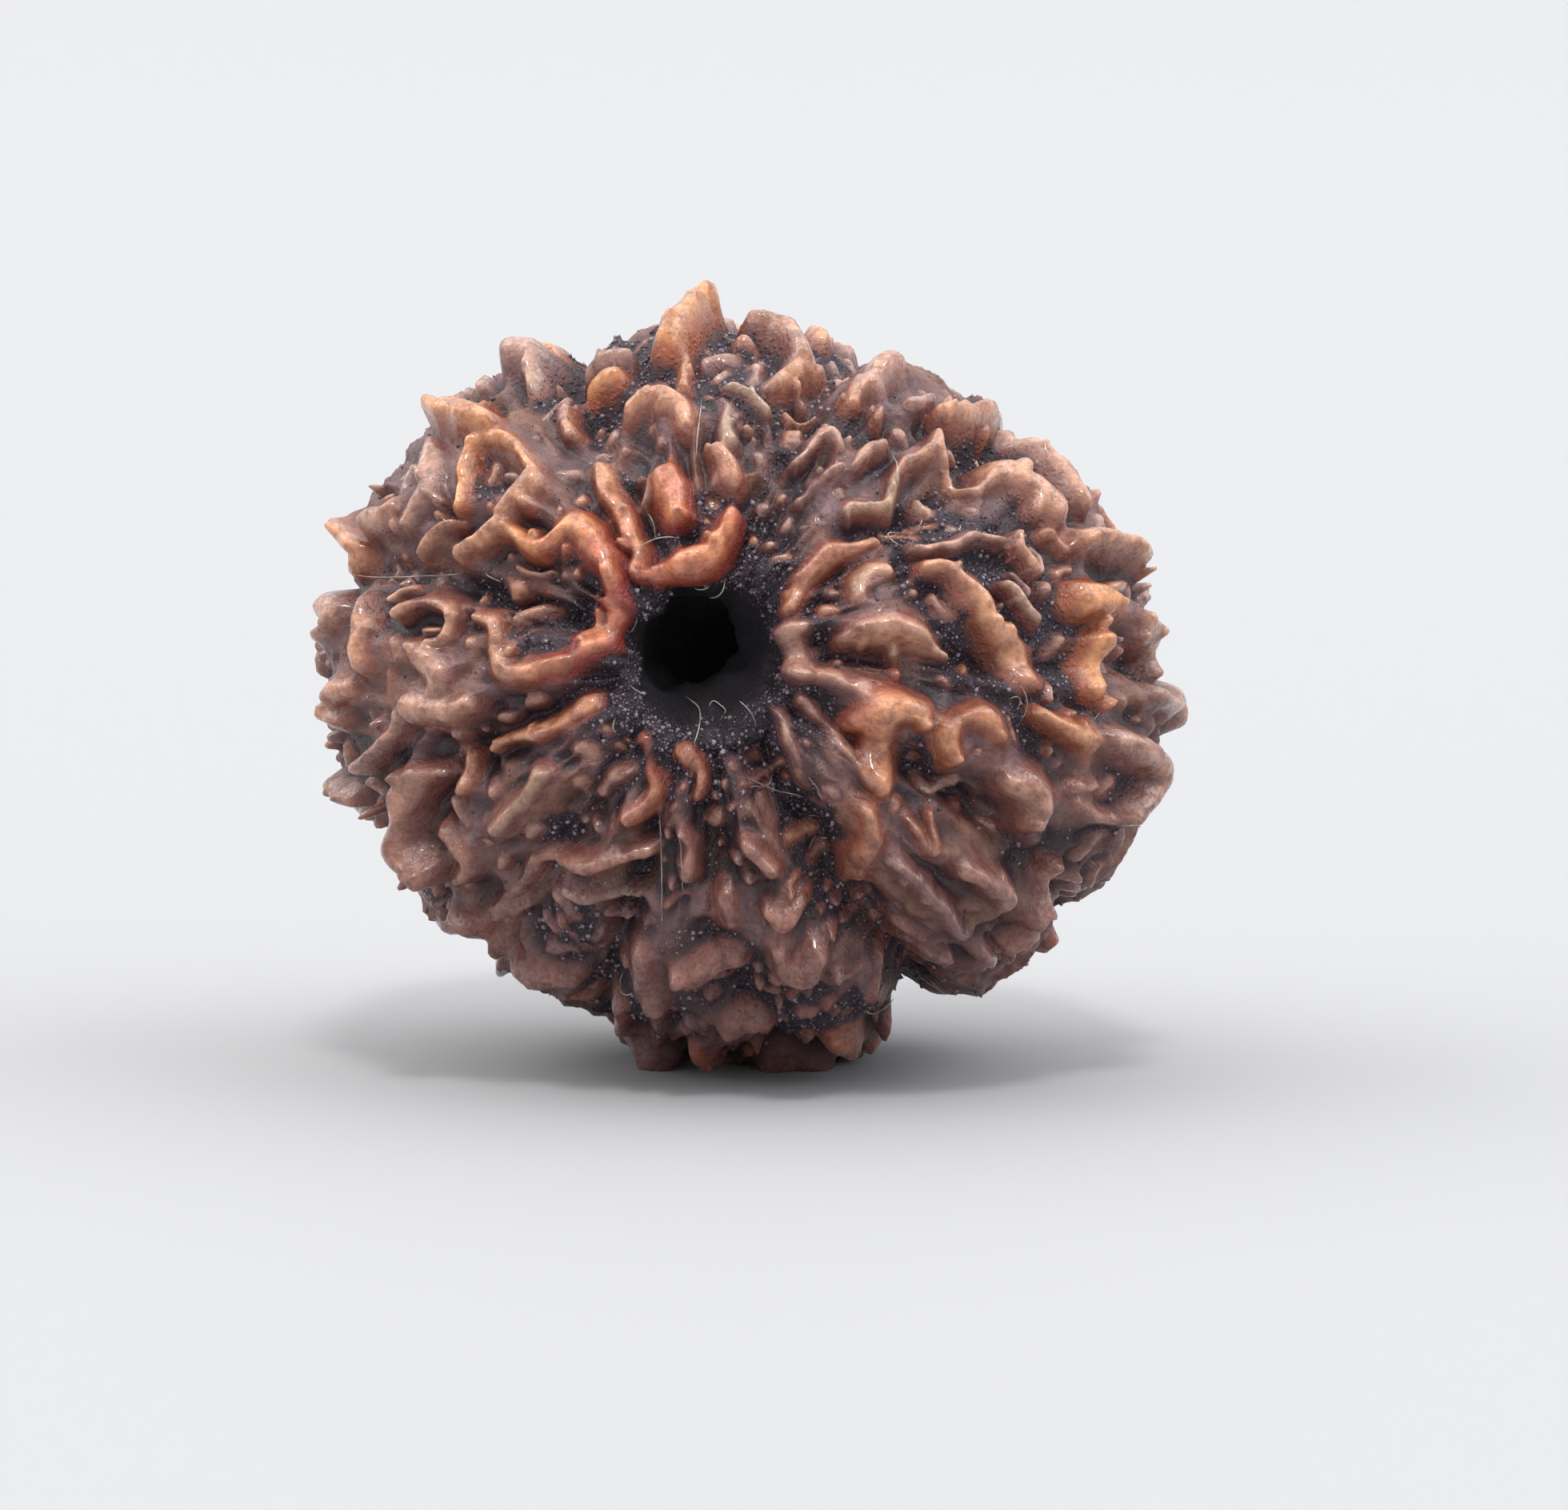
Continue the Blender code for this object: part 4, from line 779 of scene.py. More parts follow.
def walk(point, heading, steps, stride, curl, has_room):
    """A path over the body in short steps on a curling heading, which ends where there is no room."""
    path = []
    for _ in range(steps):
        if not has_room(point):
            break
        path.append(point)
        up = point / np.linalg.norm(point)
        heading = heading - up * (heading @ up)
        heading /= np.linalg.norm(heading)
        heading += curl * np.cross(up, heading)
        point = onto_stone(point + stride * heading)
    return np.array(path)


def grown_ridges(ridges):
    """Ridges and knobs on the rest of the stone, grown from seeded starts wherever there is room.

    A ridge ends where it would come near another ridge, a groove or a mouth, and is kept if it has got
    far enough.
    """
    rng = np.random.default_rng(SEED)
    taken, taken_width = crest_points(ridges)

    def has_room(point):
        """Whether a ridge of this width and gap may pass over a point."""
        room = np.linalg.norm(taken - point, axis=1) - taken_width - width
        by_groove = min(groove_distance(point, k) for k in range(len(GROOVE_ANGLES)))
        by_mouth = math.hypot(point[0], point[2])
        return room.min() >= gap and by_groove >= width + GROOVE_CLEARANCE and by_mouth >= MOUTH_CLEARANCE

    grown = []
    for tries, fewest, most, narrow, wide, curl_most in GROWN_KINDS:
        for _ in range(tries):
            point = onto_stone(rng.normal(size=3))
            towards = facing(point)
            gap = NEAR_RIDGE_GAP if towards > NEAR_FACING else RIDGE_GAP
            heading = np.cross(point, rng.normal(size=3))
            steps = rng.integers(fewest, most + 1)
            curl = rng.uniform(-curl_most, curl_most)
            width = rng.uniform(narrow, wide)
            path = walk(point, heading, steps, GROWTH_STEP, curl, has_room)
            if len(path) < fewest:
                continue
            widths = width * (1 - END_NARROWING * np.abs(np.linspace(-1, 1, len(path))) ** 3)
            lower = EDGE_LOWERING * math.exp(-(((towards - EDGE_FACING) / EDGE_FACING_SPREAD) ** 2))
            lift = ridge_lift(width) * (1 - lower)
            if spoils_outline(path, lift):
                continue
            grown.append((path, widths, lift))
            taken = np.concatenate((taken, path))
            taken_width = np.concatenate((taken_width, widths))
    return grown


def groove_heights(points):
    """Depth of the grooves, below zero, and the crown of the lobe between two grooves, above it."""
    nearest = np.full(len(points), np.inf)
    depth = np.zeros(len(points))
    for number, angle in enumerate(GROOVE_ANGLES):
        wide = angle == WIDE_GROOVE_ANGLE
        half_width = WIDE_GROOVE_HALF_WIDTH if wide else GROOVE_HALF_WIDTH
        deepest = WIDE_GROOVE_DEPTH if wide else GROOVE_DEPTH
        off = groove_distance(points, number)
        depth = np.maximum(depth, deepest * np.exp(-((off / half_width) ** 2)))
        nearest = np.minimum(nearest, off)
    return LOBE_CROWN * smooth_step(nearest, 0, LOBE_RISE) - depth


def swell(points):
    """A slow seeded unevenness, made of plane waves, and a bulge where the stone stands."""
    rng = np.random.default_rng(SEED + 1)
    off = to_world(points) - STONE_CENTRE
    height = (off[:, 2] < 0) * FOOT_SWELL * np.exp(-(off[:, 0] ** 2 + off[:, 1] ** 2) / FOOT_SWELL_REACH**2)
    for _ in range(SWELL_WAVES):
        direction = rng.normal(size=3)
        length = rng.uniform(SWELL_SHORTEST, SWELL_LONGEST)
        wave = 2 * math.pi / length * direction / np.linalg.norm(direction)
        height += SWELL_HEIGHT * np.sin(points @ wave + rng.uniform(0, 2 * math.pi))
    return height


def random_numbers(cells, seed):
    """Three even random numbers from 0 to 1 for each whole-numbered cell, the same on every run."""
    x, y, z = (cells[..., k].astype(np.int64) * factor for k, factor in enumerate(CELL_FACTORS))
    mixed = x ^ y ^ z ^ (seed * SEED_FACTOR)
    mixed = (mixed ^ (mixed >> 13)) * SECOND_FACTOR
    mixed = (mixed ^ (mixed >> 16)) & KEPT_BITS
    return np.stack([((mixed * odd) >> 7 & NUMBER_BITS) / NUMBER_BITS for odd in NUMBER_FACTORS], axis=-1)


def soft_noise(points, size, seed):
    """Three smooth noises from -1 to 1, with lumps of about size: random numbers at the corners of cubic
    cells, blended across each cell by S curves."""
    place = points / size
    base = np.floor(place)
    t = smooth_step(place - base, 0, 1)
    total = 0
    for corner in np.ndindex(2, 2, 2):
        share = np.prod(np.where(corner, t, 1 - t), axis=-1)
        total = total + share[..., None] * random_numbers(base + corner, seed)
    return 2 * total - 1


def grain_domes(points, size, seed):
    """Packed grains: 1 over the middle of each, 0 where two meet, and a random number for each grain.

    Every cubic cell holds one grain's middle at a random place. The dome rises with the difference
    between the distances to the second nearest and the nearest middle.
    """
    place = points / size
    base = np.floor(place)
    nearest = np.full(len(points), FARTHEST)
    second = np.full(len(points), FARTHEST)
    own = np.zeros(len(points))
    for step in np.ndindex(3, 3, 3):
        cell = base + step - 1
        numbers = random_numbers(cell, seed)
        gap = ((cell + GRAIN_MARGIN + GRAIN_PLAY * numbers - place) ** 2).sum(axis=-1)
        closer = gap < nearest
        second = np.where(closer, nearest, np.minimum(second, gap))
        nearest = np.where(closer, gap, nearest)
        own = np.where(closer, (numbers[..., 0] * GRAIN_SHUFFLE) % 1, own)
    return smooth_step(np.sqrt(second) - np.sqrt(nearest), 0, GRAIN_EDGE), own


def small_ridges(ridges):
    """Short, thin ridges and knobs in the gaps that the larger ones leave, from seeded starts."""
    rng = np.random.default_rng(SEED + 2)
    taken, taken_width = crest_points(ridges)

    def has_room(point):
        """Whether a ridge of this width may pass over a point."""
        room = np.linalg.norm(taken - point, axis=1) - taken_width - width
        return room.min() >= SMALL_RIDGE_GAP and math.hypot(point[0], point[2]) >= MOUTH_CLEARANCE

    grown = []
    for _ in range(SMALL_RIDGE_TRIES):
        point = onto_stone(rng.normal(size=3))
        heading = np.cross(point, rng.normal(size=3))
        steps = rng.integers(1, SMALL_RIDGE_STEPS + 1)
        curl = rng.uniform(-SMALL_RIDGE_CURL, SMALL_RIDGE_CURL)
        width = rng.uniform(*SMALL_RIDGE_HALF_WIDTHS)
        share = rng.uniform(*SMALL_RIDGE_LIFTS)
        path = walk(point, heading, steps, SMALL_RIDGE_STRIDE, curl, has_room)
        if len(path) == 0:
            continue
        widths = np.full(len(path), width)
        lift = ridge_lift(width) * share
        if spoils_outline(path, lift):
            lift *= OUTLINE_SHARE
        grown.append((path, widths, lift))
        taken = np.concatenate((taken, path))
        taken_width = np.concatenate((taken_width, widths))
    return grown


def shoulder_knobs(ridges):
    """Lumps on the ridges' shoulders, and the number of the ridge that each belongs to.

    A lump stands at a random place along a ridge, shifted sideways by about half the ridge's half width.
    """
    rng = np.random.default_rng(SEED + 6)
    knobs, owners = [], []
    for owner, (path, widths, lift) in enumerate(ridges):
        length = np.linalg.norm(np.diff(path, axis=0), axis=1).sum()
        for _ in range(1 + int(length / KNOB_SPACING)):
            k = rng.integers(len(path))
            half_width = widths[min(k, len(widths) - 1)]
            point = onto_stone(path[k] + rng.normal(size=3) * KNOB_OFFSET * half_width)
            width = half_width * rng.uniform(*KNOB_HALF_WIDTHS)
            knobs.append((point[None], np.array((width,)), lift * rng.uniform(*KNOB_LIFTS)))
            owners.append(owner)
    return knobs, owners


def ridge_relief(points, ridges, warmths, pales):
    """Height that the ridges give each point, its share of its ridge's own height, its warmth and paleness.

    Across a ridge the height falls off as (1 - s) exp(-(f u)^k) + s exp(-(u / w)^2), a steep crest on a
    low skirt, with u the distance to its crest line in half widths. Where ridges meet, the highest one
    wins, with a rounded join: (sum of h^m)^(1/m).
    """
    order = np.argsort(points[:, 0])
    ordered = points[order]
    sums = np.zeros((4, len(points)))
    for (path, widths, lift), warmth, pale in zip(ridges, warmths, pales):
        middle = path.mean(axis=0)
        reach = np.linalg.norm(path - middle, axis=1).max() + RIDGE_REACH * widths.max()
        first, last = np.searchsorted(ordered[:, 0], (middle[0] - reach, middle[0] + reach))
        close = first + np.flatnonzero(((ordered[first:last] - middle) ** 2).sum(axis=1) < reach**2)
        near, p = order[close], ordered[close]
        best = np.full(len(p), np.inf)
        starts = path[:-1] if len(path) > 1 else path
        ends = path[1:] if len(path) > 1 else path
        for k, (a, b) in enumerate(zip(starts, ends)):
            line = b - a
            t = np.clip((p - a) @ line / max(line @ line, LEAST_LENGTH_SQUARED), 0, 1)
            width = widths[k] + t * (widths[min(k + 1, len(path) - 1)] - widths[k])
            best = np.minimum(best, np.linalg.norm(p - a - t[:, None] * line, axis=1) / width)
        across = (1 - RIDGE_SKIRT) * np.exp(-((RIDGE_FOOT * best) ** RIDGE_STEEPNESS))
        across += RIDGE_SKIRT * np.exp(-((best / RIDGE_SKIRT_WIDTH) ** 2))
        strength = (lift / MM * across) ** RIDGE_BLEND
        for k, value in enumerate((1, lift / MM, warmth, pale)):
            sums[k, near] += strength * value
    height = sums[0] ** (1 / RIDGE_BLEND) * MM
    among = np.maximum(sums[0], LEAST_STRENGTH)
    own_lift = sums[1] / among * MM
    share = np.clip(height / np.maximum(own_lift, LEAST_LIFT), 0, 1)
    return height, share, np.clip(sums[2] / among, 0, 1), np.clip(sums[3] / among, 0, 1)


def folds(points):
    """Folds of the ground between the ridges: 0 in a gap, 1 on a fold, for broad folds and for fine ones.

    A fold runs wherever a soft noise crosses zero. The noise is read at (R cos a, R sin a, H t), with a
    the angle about the bore and t the angle up from the stone's waist, so the folds run from mouth to
    mouth and draw together there like rays.
    """
    angle = np.arctan2(points[:, 2], points[:, 0])
    rise = np.arctan2(points[:, 1] / STONE_HALF_LENGTH, np.hypot(points[:, 0], points[:, 2]) / STONE_RADIUS)
    place = np.stack((FOLD_ROUND * np.cos(angle), FOLD_ROUND * np.sin(angle), FOLD_ALONG * rise), axis=1)
    place = place + FOLD_BEND * soft_noise(points, FOLD_BEND_SIZE, seed=8)
    broad = 1 - smooth_step(np.abs(soft_noise(place, FOLD_SIZE, seed=9)[:, 0]), 0, FOLD_SPREAD)
    fine = 1 - smooth_step(np.abs(soft_noise(place, FINE_FOLD_SIZE, seed=10)[:, 0]), 0, FINE_FOLD_SPREAD)
    return broad, fine


def dark_and_shaded_places(points, normals):
    """How far each point lies in one of the dark places seen in the picture, from 0 to 1: partly dark ground,
    partly painted shade.
    """
    x, y, towards = picture_place(points)
    dark = np.zeros(len(points))
    for px, py, radius in SEEN_DARK_AND_SHADED_PLACES.values():
        dark = np.maximum(dark, np.exp(-(((x - px) ** 2 + (y - py) ** 2) / radius**2) ** 2))
    return dark * (np.einsum("ij,ij->i", normals, towards) > 0)


def all_ridges():
    """Every ridge, small ridge and shoulder lump of the fine stone, and the warmth and paleness of each."""
    seen = seen_ridges()
    placed = seen + foot_ridges()
    large = placed + grown_ridges(placed)
    ridges = large + small_ridges(large)
    rng = np.random.default_rng(SEED + 3)
    warmths = rng.beta(*WARMTH_ODDS, len(ridges))
    warmths[len(large) :] *= SMALL_RIDGE_WARMTH
    pales = np.where(rng.random(len(ridges)) < PALE_SHARE, PALE_WORTH, 0.0)
    warmths[len(seen) : len(placed)] = FOOT_WARMTH
    warmths[: len(seen)] = [RIDGE_WARMTH.get(name, PLAIN_WARMTH) for name in NEAR_RIDGES]
    pales[: len(seen)] = [1.0 if name in PALE_RIDGES else 0.0 for name in NEAR_RIDGES]
    knobs, owners = shoulder_knobs(large)
    warmths = np.concatenate((warmths, warmths[owners]))
    pales = np.concatenate((pales, pales[owners]))
    return ridges + knobs, warmths, pales


def waving_relief(flat):
    """What ridge_relief gives for all ridges, with outlines that wave and crests that rise and fall.

    The outlines wave because the ridges' formula reads places that are shifted by noise.
    """
    shifted = flat + RIDGE_WAVE * soft_noise(flat, RIDGE_WAVE_SIZE, seed=1)
    shifted = shifted + FINE_RIDGE_WAVE * soft_noise(flat, FINE_RIDGE_WAVE_SIZE, seed=2)
    height, crest, warmth, pale = ridge_relief(shifted, *all_ridges())
    waves = soft_noise(flat, CREST_WAVE_SIZE, seed=3)[:, 0]
    waves = waves + FINE_CREST_SHARE * soft_noise(flat, FINE_CREST_WAVE_SIZE, seed=4)[:, 0]
    return height + CREST_WAVE * waves * crest, crest, warmth, pale


def grain_heights(points, size, least, seed):
    """Packed grains whose tops differ in height: from least to 1 over their middles, 0 where two meet."""
    domes, own = grain_domes(points, size, seed)
    return domes * (least + (1 - least) * own)


def fine_stone():
    """The fine stone's grid of world points, closed both ways, and what its wood looks like at each point."""
    body, outside = body_grid(FINE_ALONG, FINE_ROUND)
    normals = grid_normals(body)
    flat = body.reshape(-1, 3)
    outer = outside.reshape(-1)
    height, crest, warmth, pale = waving_relief(flat)
    grooves = groove_heights(flat)
    height = height + grooves + swell(flat)

    # Folds and grains cover the ground between the ridges, and grains the walls of the mouth
    broad, fine = folds(flat)
    fold_height = FOLD_HEIGHT * (broad - FOLD_LEVEL) + FINE_FOLD_HEIGHT * fine
    height = height + (1 - smooth_step(crest, *FOLDED_BELOW)) * fold_height
    grain = grain_heights(flat, GRAIN_SIZE, GRAIN_LEAST, seed=5)
    fine_grain = grain_heights(flat, FINE_GRAIN_SIZE, FINE_GRAIN_LEAST, seed=6)
    grain_height = GRAIN_HEIGHT * grain + FINE_GRAIN_HEIGHT * fine_grain
    height = height + grain_height * (1 - smooth_step(crest, *GRAINY_BELOW))
    height = height * outer
    wall = (1 - outer) * smooth_step(np.abs(flat[:, 1]), MOUTH_WALL_FROM, MOUTH_WALL_FULL)
    lumps = MOUTH_WALL_WAVE * soft_noise(flat, MOUTH_WALL_WAVE_SIZE, seed=7)[:, 0]
    height = height + wall * (lumps + GRAIN_HEIGHT * grain)

    points = to_world(body + height.reshape(body.shape[:2])[..., None] * normals)
    points[..., 2] = np.maximum(points[..., 2], 0)
    from_bore = np.hypot(flat[:, 0], flat[:, 2])
    mouth = 1 - smooth_step(from_bore, MOUTH_RADIUS, MOUTH_RADIUS + DARK_REACH)
    patches = smooth_step(soft_noise(flat, DARK_PATCH_SIZE, seed=11)[:, 0], *DARK_PATCH_EDGES)
    in_groove = smooth_step(-grooves / MM, *DARK_GROOVE_DEPTHS)
    # Painted shade, partly the bead's own dark ground: the places seen dark between the ridges join the bare
    # ground and hide its grains
    dark = dark_and_shaded_places(points.reshape(-1, 3), to_world(normals.reshape(-1, 3)) - STONE_CENTRE)
    bare_and_shade = np.clip(mouth + DARK_PATCH_SHARE * patches + DARK_GROOVE_SHARE * in_groove + dark, 0, 1)
    # Painted shade: the deeper in the bore, the nearer the wall comes to black
    deep = smooth_step(STONE_HALF_LENGTH - np.abs(flat[:, 1]), FUNNEL_LIT, FUNNEL_DARK)
    all_grain = BROAD_SHARE * grain + FINE_SHARE * fine_grain
    looks = {
        "crest": crest * outer,
        "warmth": warmth,
        "pale": pale,
        "fold": BROAD_SHARE * broad + FINE_SHARE * fine,
        "grain": all_grain * (1 - CREST_HIDES * crest) * (1 - SHADE_HIDES * dark),
        "bare_and_shade": np.clip(1 - outer + bare_and_shade * (1 - smooth_step(crest, *BARE_BELOW)), 0, 1),
        "red": 1 - smooth_step(from_bore, RED_FULL, RED_REACH),
        "bore": deep * (1 - outer),
    }
    return points, looks


def grid_mesh(name, grid, closed_along, closed_around):
    """A mesh of quads over a grid of points, which closes on itself along or around where that is asked."""
    rows, columns = grid.shape[:2]
    row = np.arange(rows if closed_along else rows - 1)[:, None]
    column = np.arange(columns if closed_around else columns - 1)[None, :]
    next_row, next_column = (row + 1) % rows, (column + 1) % columns
    corners = ((row, column), (next_row, column), (next_row, next_column), (row, next_column))
    faces = np.stack([r * columns + c for r, c in corners], axis=-1).reshape(-1)
    return corner_mesh(name, grid.reshape(-1, 3), faces, 4)


def corner_mesh(name, points, corners, sides):
    """A smooth-shaded mesh whose faces all have the same number of sides, from their corners in a row."""
    mesh = bpy.data.meshes.new(name)
    mesh.vertices.add(len(points))
    mesh.vertices.foreach_set("co", np.ascontiguousarray(points, dtype=np.float32).reshape(-1))
    mesh.loops.add(len(corners))
    mesh.loops.foreach_set("vertex_index", corners.astype(np.int32))
    mesh.polygons.add(len(corners) // sides)
    mesh.polygons.foreach_set("loop_start", np.arange(0, len(corners), sides, dtype=np.int32))
    mesh.update(calc_edges=True)
    mesh.validate()
    mesh.shade_smooth()
    return mesh


def give_values(mesh, values):
    """Stores a number for each of the mesh's points, under its name, for the material to read."""
    for name, numbers in values.items():
        attribute = mesh.attributes.new(name, "FLOAT", "POINT")
        attribute.data.foreach_set("value", numbers.astype(np.float32))


def show(name, mesh, material):
    """Puts a mesh in the scene as a piece with its material."""
    mesh.materials.clear()
    mesh.materials.append(material)
    piece = bpy.data.objects.new(name, mesh)
    bpy.context.scene.collection.objects.link(piece)
    return piece


def thinned(mesh, triangles):
    """The mesh with its flattest stretches thinned, down to a number of triangles."""
    rough = bpy.data.objects.new("rough_stone", mesh)
    bpy.context.scene.collection.objects.link(rough)
    thin = rough.modifiers.new("thin", "DECIMATE")
    thin.ratio = triangles / (2 * len(mesh.polygons))
    thin.use_collapse_triangulate = True
    finished = bpy.data.meshes.new_from_object(rough.evaluated_get(bpy.context.evaluated_depsgraph_get()))
    bpy.data.objects.remove(rough)
    finished.shade_smooth()
    return finished


def loose_grains(points, normals, looks):
    """Small eight-sided lumps half sunk in the valley floors, each squashed, turned and sized at random."""
    rng = np.random.default_rng(SEED + 4)
    floor = (looks["crest"] < GRAIN_FLOOR) & (looks["bore"] < GRAIN_DEPTH) & (points[:, 2] > GRAIN_LOWEST)
    odds = np.where(floor, GRAIN_ODDS_LEAST + looks["bare_and_shade"] ** 2, 0)
    chosen = rng.choice(len(points), LOOSE_GRAINS, replace=False, p=odds / odds.sum())
    corners = np.array(LUMP_CORNERS, float)
    small, large = LOOSE_GRAIN_RADIUS
    radius = small + (large - small) * rng.random((LOOSE_GRAINS, 1, 1)) ** LOOSE_GRAIN_POWER
    radius = radius * rng.uniform(*LOOSE_GRAIN_STRETCH, (LOOSE_GRAINS, 1, 3))
    along = rng.normal(size=(LOOSE_GRAINS, 3))
    up = normals[chosen]
    along = along - up * (along * up).sum(axis=1, keepdims=True)
    along /= np.linalg.norm(along, axis=1, keepdims=True)
    axes = np.stack((along, np.cross(up, along), up), axis=1)
    lumps = np.einsum("nck,nkj->ncj", corners[None] * radius, axes) + points[chosen][:, None]
    faces = (np.array(LUMP_SIDES)[None] + len(corners) * np.arange(LOOSE_GRAINS)[:, None, None]).reshape(-1)
    mesh = corner_mesh("valley_grains", lumps.reshape(-1, 3), faces, 3)
    give_values(mesh, {"shade": np.repeat(rng.random(LOOSE_GRAINS), len(corners))})
    return mesh


def tubes(name, paths, radius):
    """Thin round tubes along paths of equal length, tapered to both ends, as one mesh.

    A ring of four points stands square to the path at each of its points. The rings at both ends are
    small and closed by a face.
    """
    paths = np.array(paths)
    count, length = paths.shape[:2]
    ahead = np.gradient(paths, axis=1)
    ahead /= np.linalg.norm(ahead, axis=-1, keepdims=True)
    side = np.cross(ahead, FIBRE_ASIDE)
    side /= np.linalg.norm(side, axis=-1, keepdims=True)
    other = np.cross(ahead, side)
    taper = 1 - np.abs(np.linspace(-1, 1, length)) ** FIBRE_TAPER
    wide = radius * np.maximum(taper, FIBRE_TIP)[None, :, None, None]
    turn = np.linspace(0, 2 * math.pi, FIBRE_SIDES, endpoint=False)[None, None, :, None]
    rings = paths[:, :, None] + wide * (np.cos(turn) * side[:, :, None] + np.sin(turn) * other[:, :, None])
    index = np.arange(count * length * FIBRE_SIDES).reshape(count, length, FIBRE_SIDES)
    near, far = index[:, :-1], index[:, 1:]
    faces = np.stack((near, np.roll(near, -1, axis=2), np.roll(far, -1, axis=2), far), axis=-1)
    ends = np.concatenate((index[:, 0, ::-1].reshape(-1), index[:, -1].reshape(-1)))
    return corner_mesh(name, rings.reshape(-1, 3), np.concatenate((faces.reshape(-1), ends)), FIBRE_SIDES)


def respaced(line, count):
    """The line read at count even places between its first and its last point."""
    steps = np.linspace(0, len(line) - 1, count)
    return np.stack([np.interp(steps, np.arange(len(line)), column) for column in line.T], axis=1)


def seen_fibres(points, normals):
    """Paths of the fibres in the picture: each of their points lies over the surface seen at its pixel."""
    x, y, towards = picture_place(points)
    facing_eye = np.einsum("ij,ij->i", normals, towards) > FIBRE_FACING
    near_eye = -points @ eye_axes()[2]
    paths = []
    for pixels in SEEN_FIBRES.values():
        line = smooth_path([(px, py, 0) for px, py in pixels], FIBRE_SPAN_STEPS)[:, :2]
        path = []
        for px, py in respaced(line, FIBRE_POINTS):
            close = np.flatnonzero(facing_eye & (np.hypot(x - px, y - py) < FIBRE_SEARCH))
            if len(close) == 0:
                continue
            best = close[near_eye[close].argmax()]
            path.append(points[best] + FIBRE_LIFT * towards[best])
        paths.append(respaced(evened(np.array(path), FIBRE_SMOOTHING), FIBRE_POINTS))
    return paths


def short_fibres(points, normals, looks):
    """Seeded short fibres, curled up out of the valleys round both mouths and here and there elsewhere."""
    rng = np.random.default_rng(SEED + 5)
    floor = (looks["crest"] < SHORT_FLOOR) & (looks["bore"] < SHORT_DEPTH) & (points[:, 2] > SHORT_LOWEST)
    odds = np.where(floor, SHORT_ODDS_LEAST + looks["bare_and_shade"] ** 2, 0)
    chosen = rng.choice(len(points), SHORT_FIBRES, replace=False, p=odds / odds.sum())
    t = np.linspace(0, 1, FIBRE_POINTS)[:, None]
    paths = []
    for start, up in zip(points[chosen], normals[chosen]):
        along = np.cross(up, rng.normal(size=3))
        along /= np.linalg.norm(along)
        across = np.cross(up, along)
        length = rng.uniform(*SHORT_LENGTHS) * MM
        turn = rng.uniform(*SHORT_TURNS)
        path = start + length * (np.sin(turn * t) / turn * along + (1 - np.cos(turn * t)) / turn * across)
        rise = rng.uniform(*SHORT_RISES) * MM
        paths.append(path + rise * np.sin(math.pi * t * SHORT_ARCH) * up)
    return paths


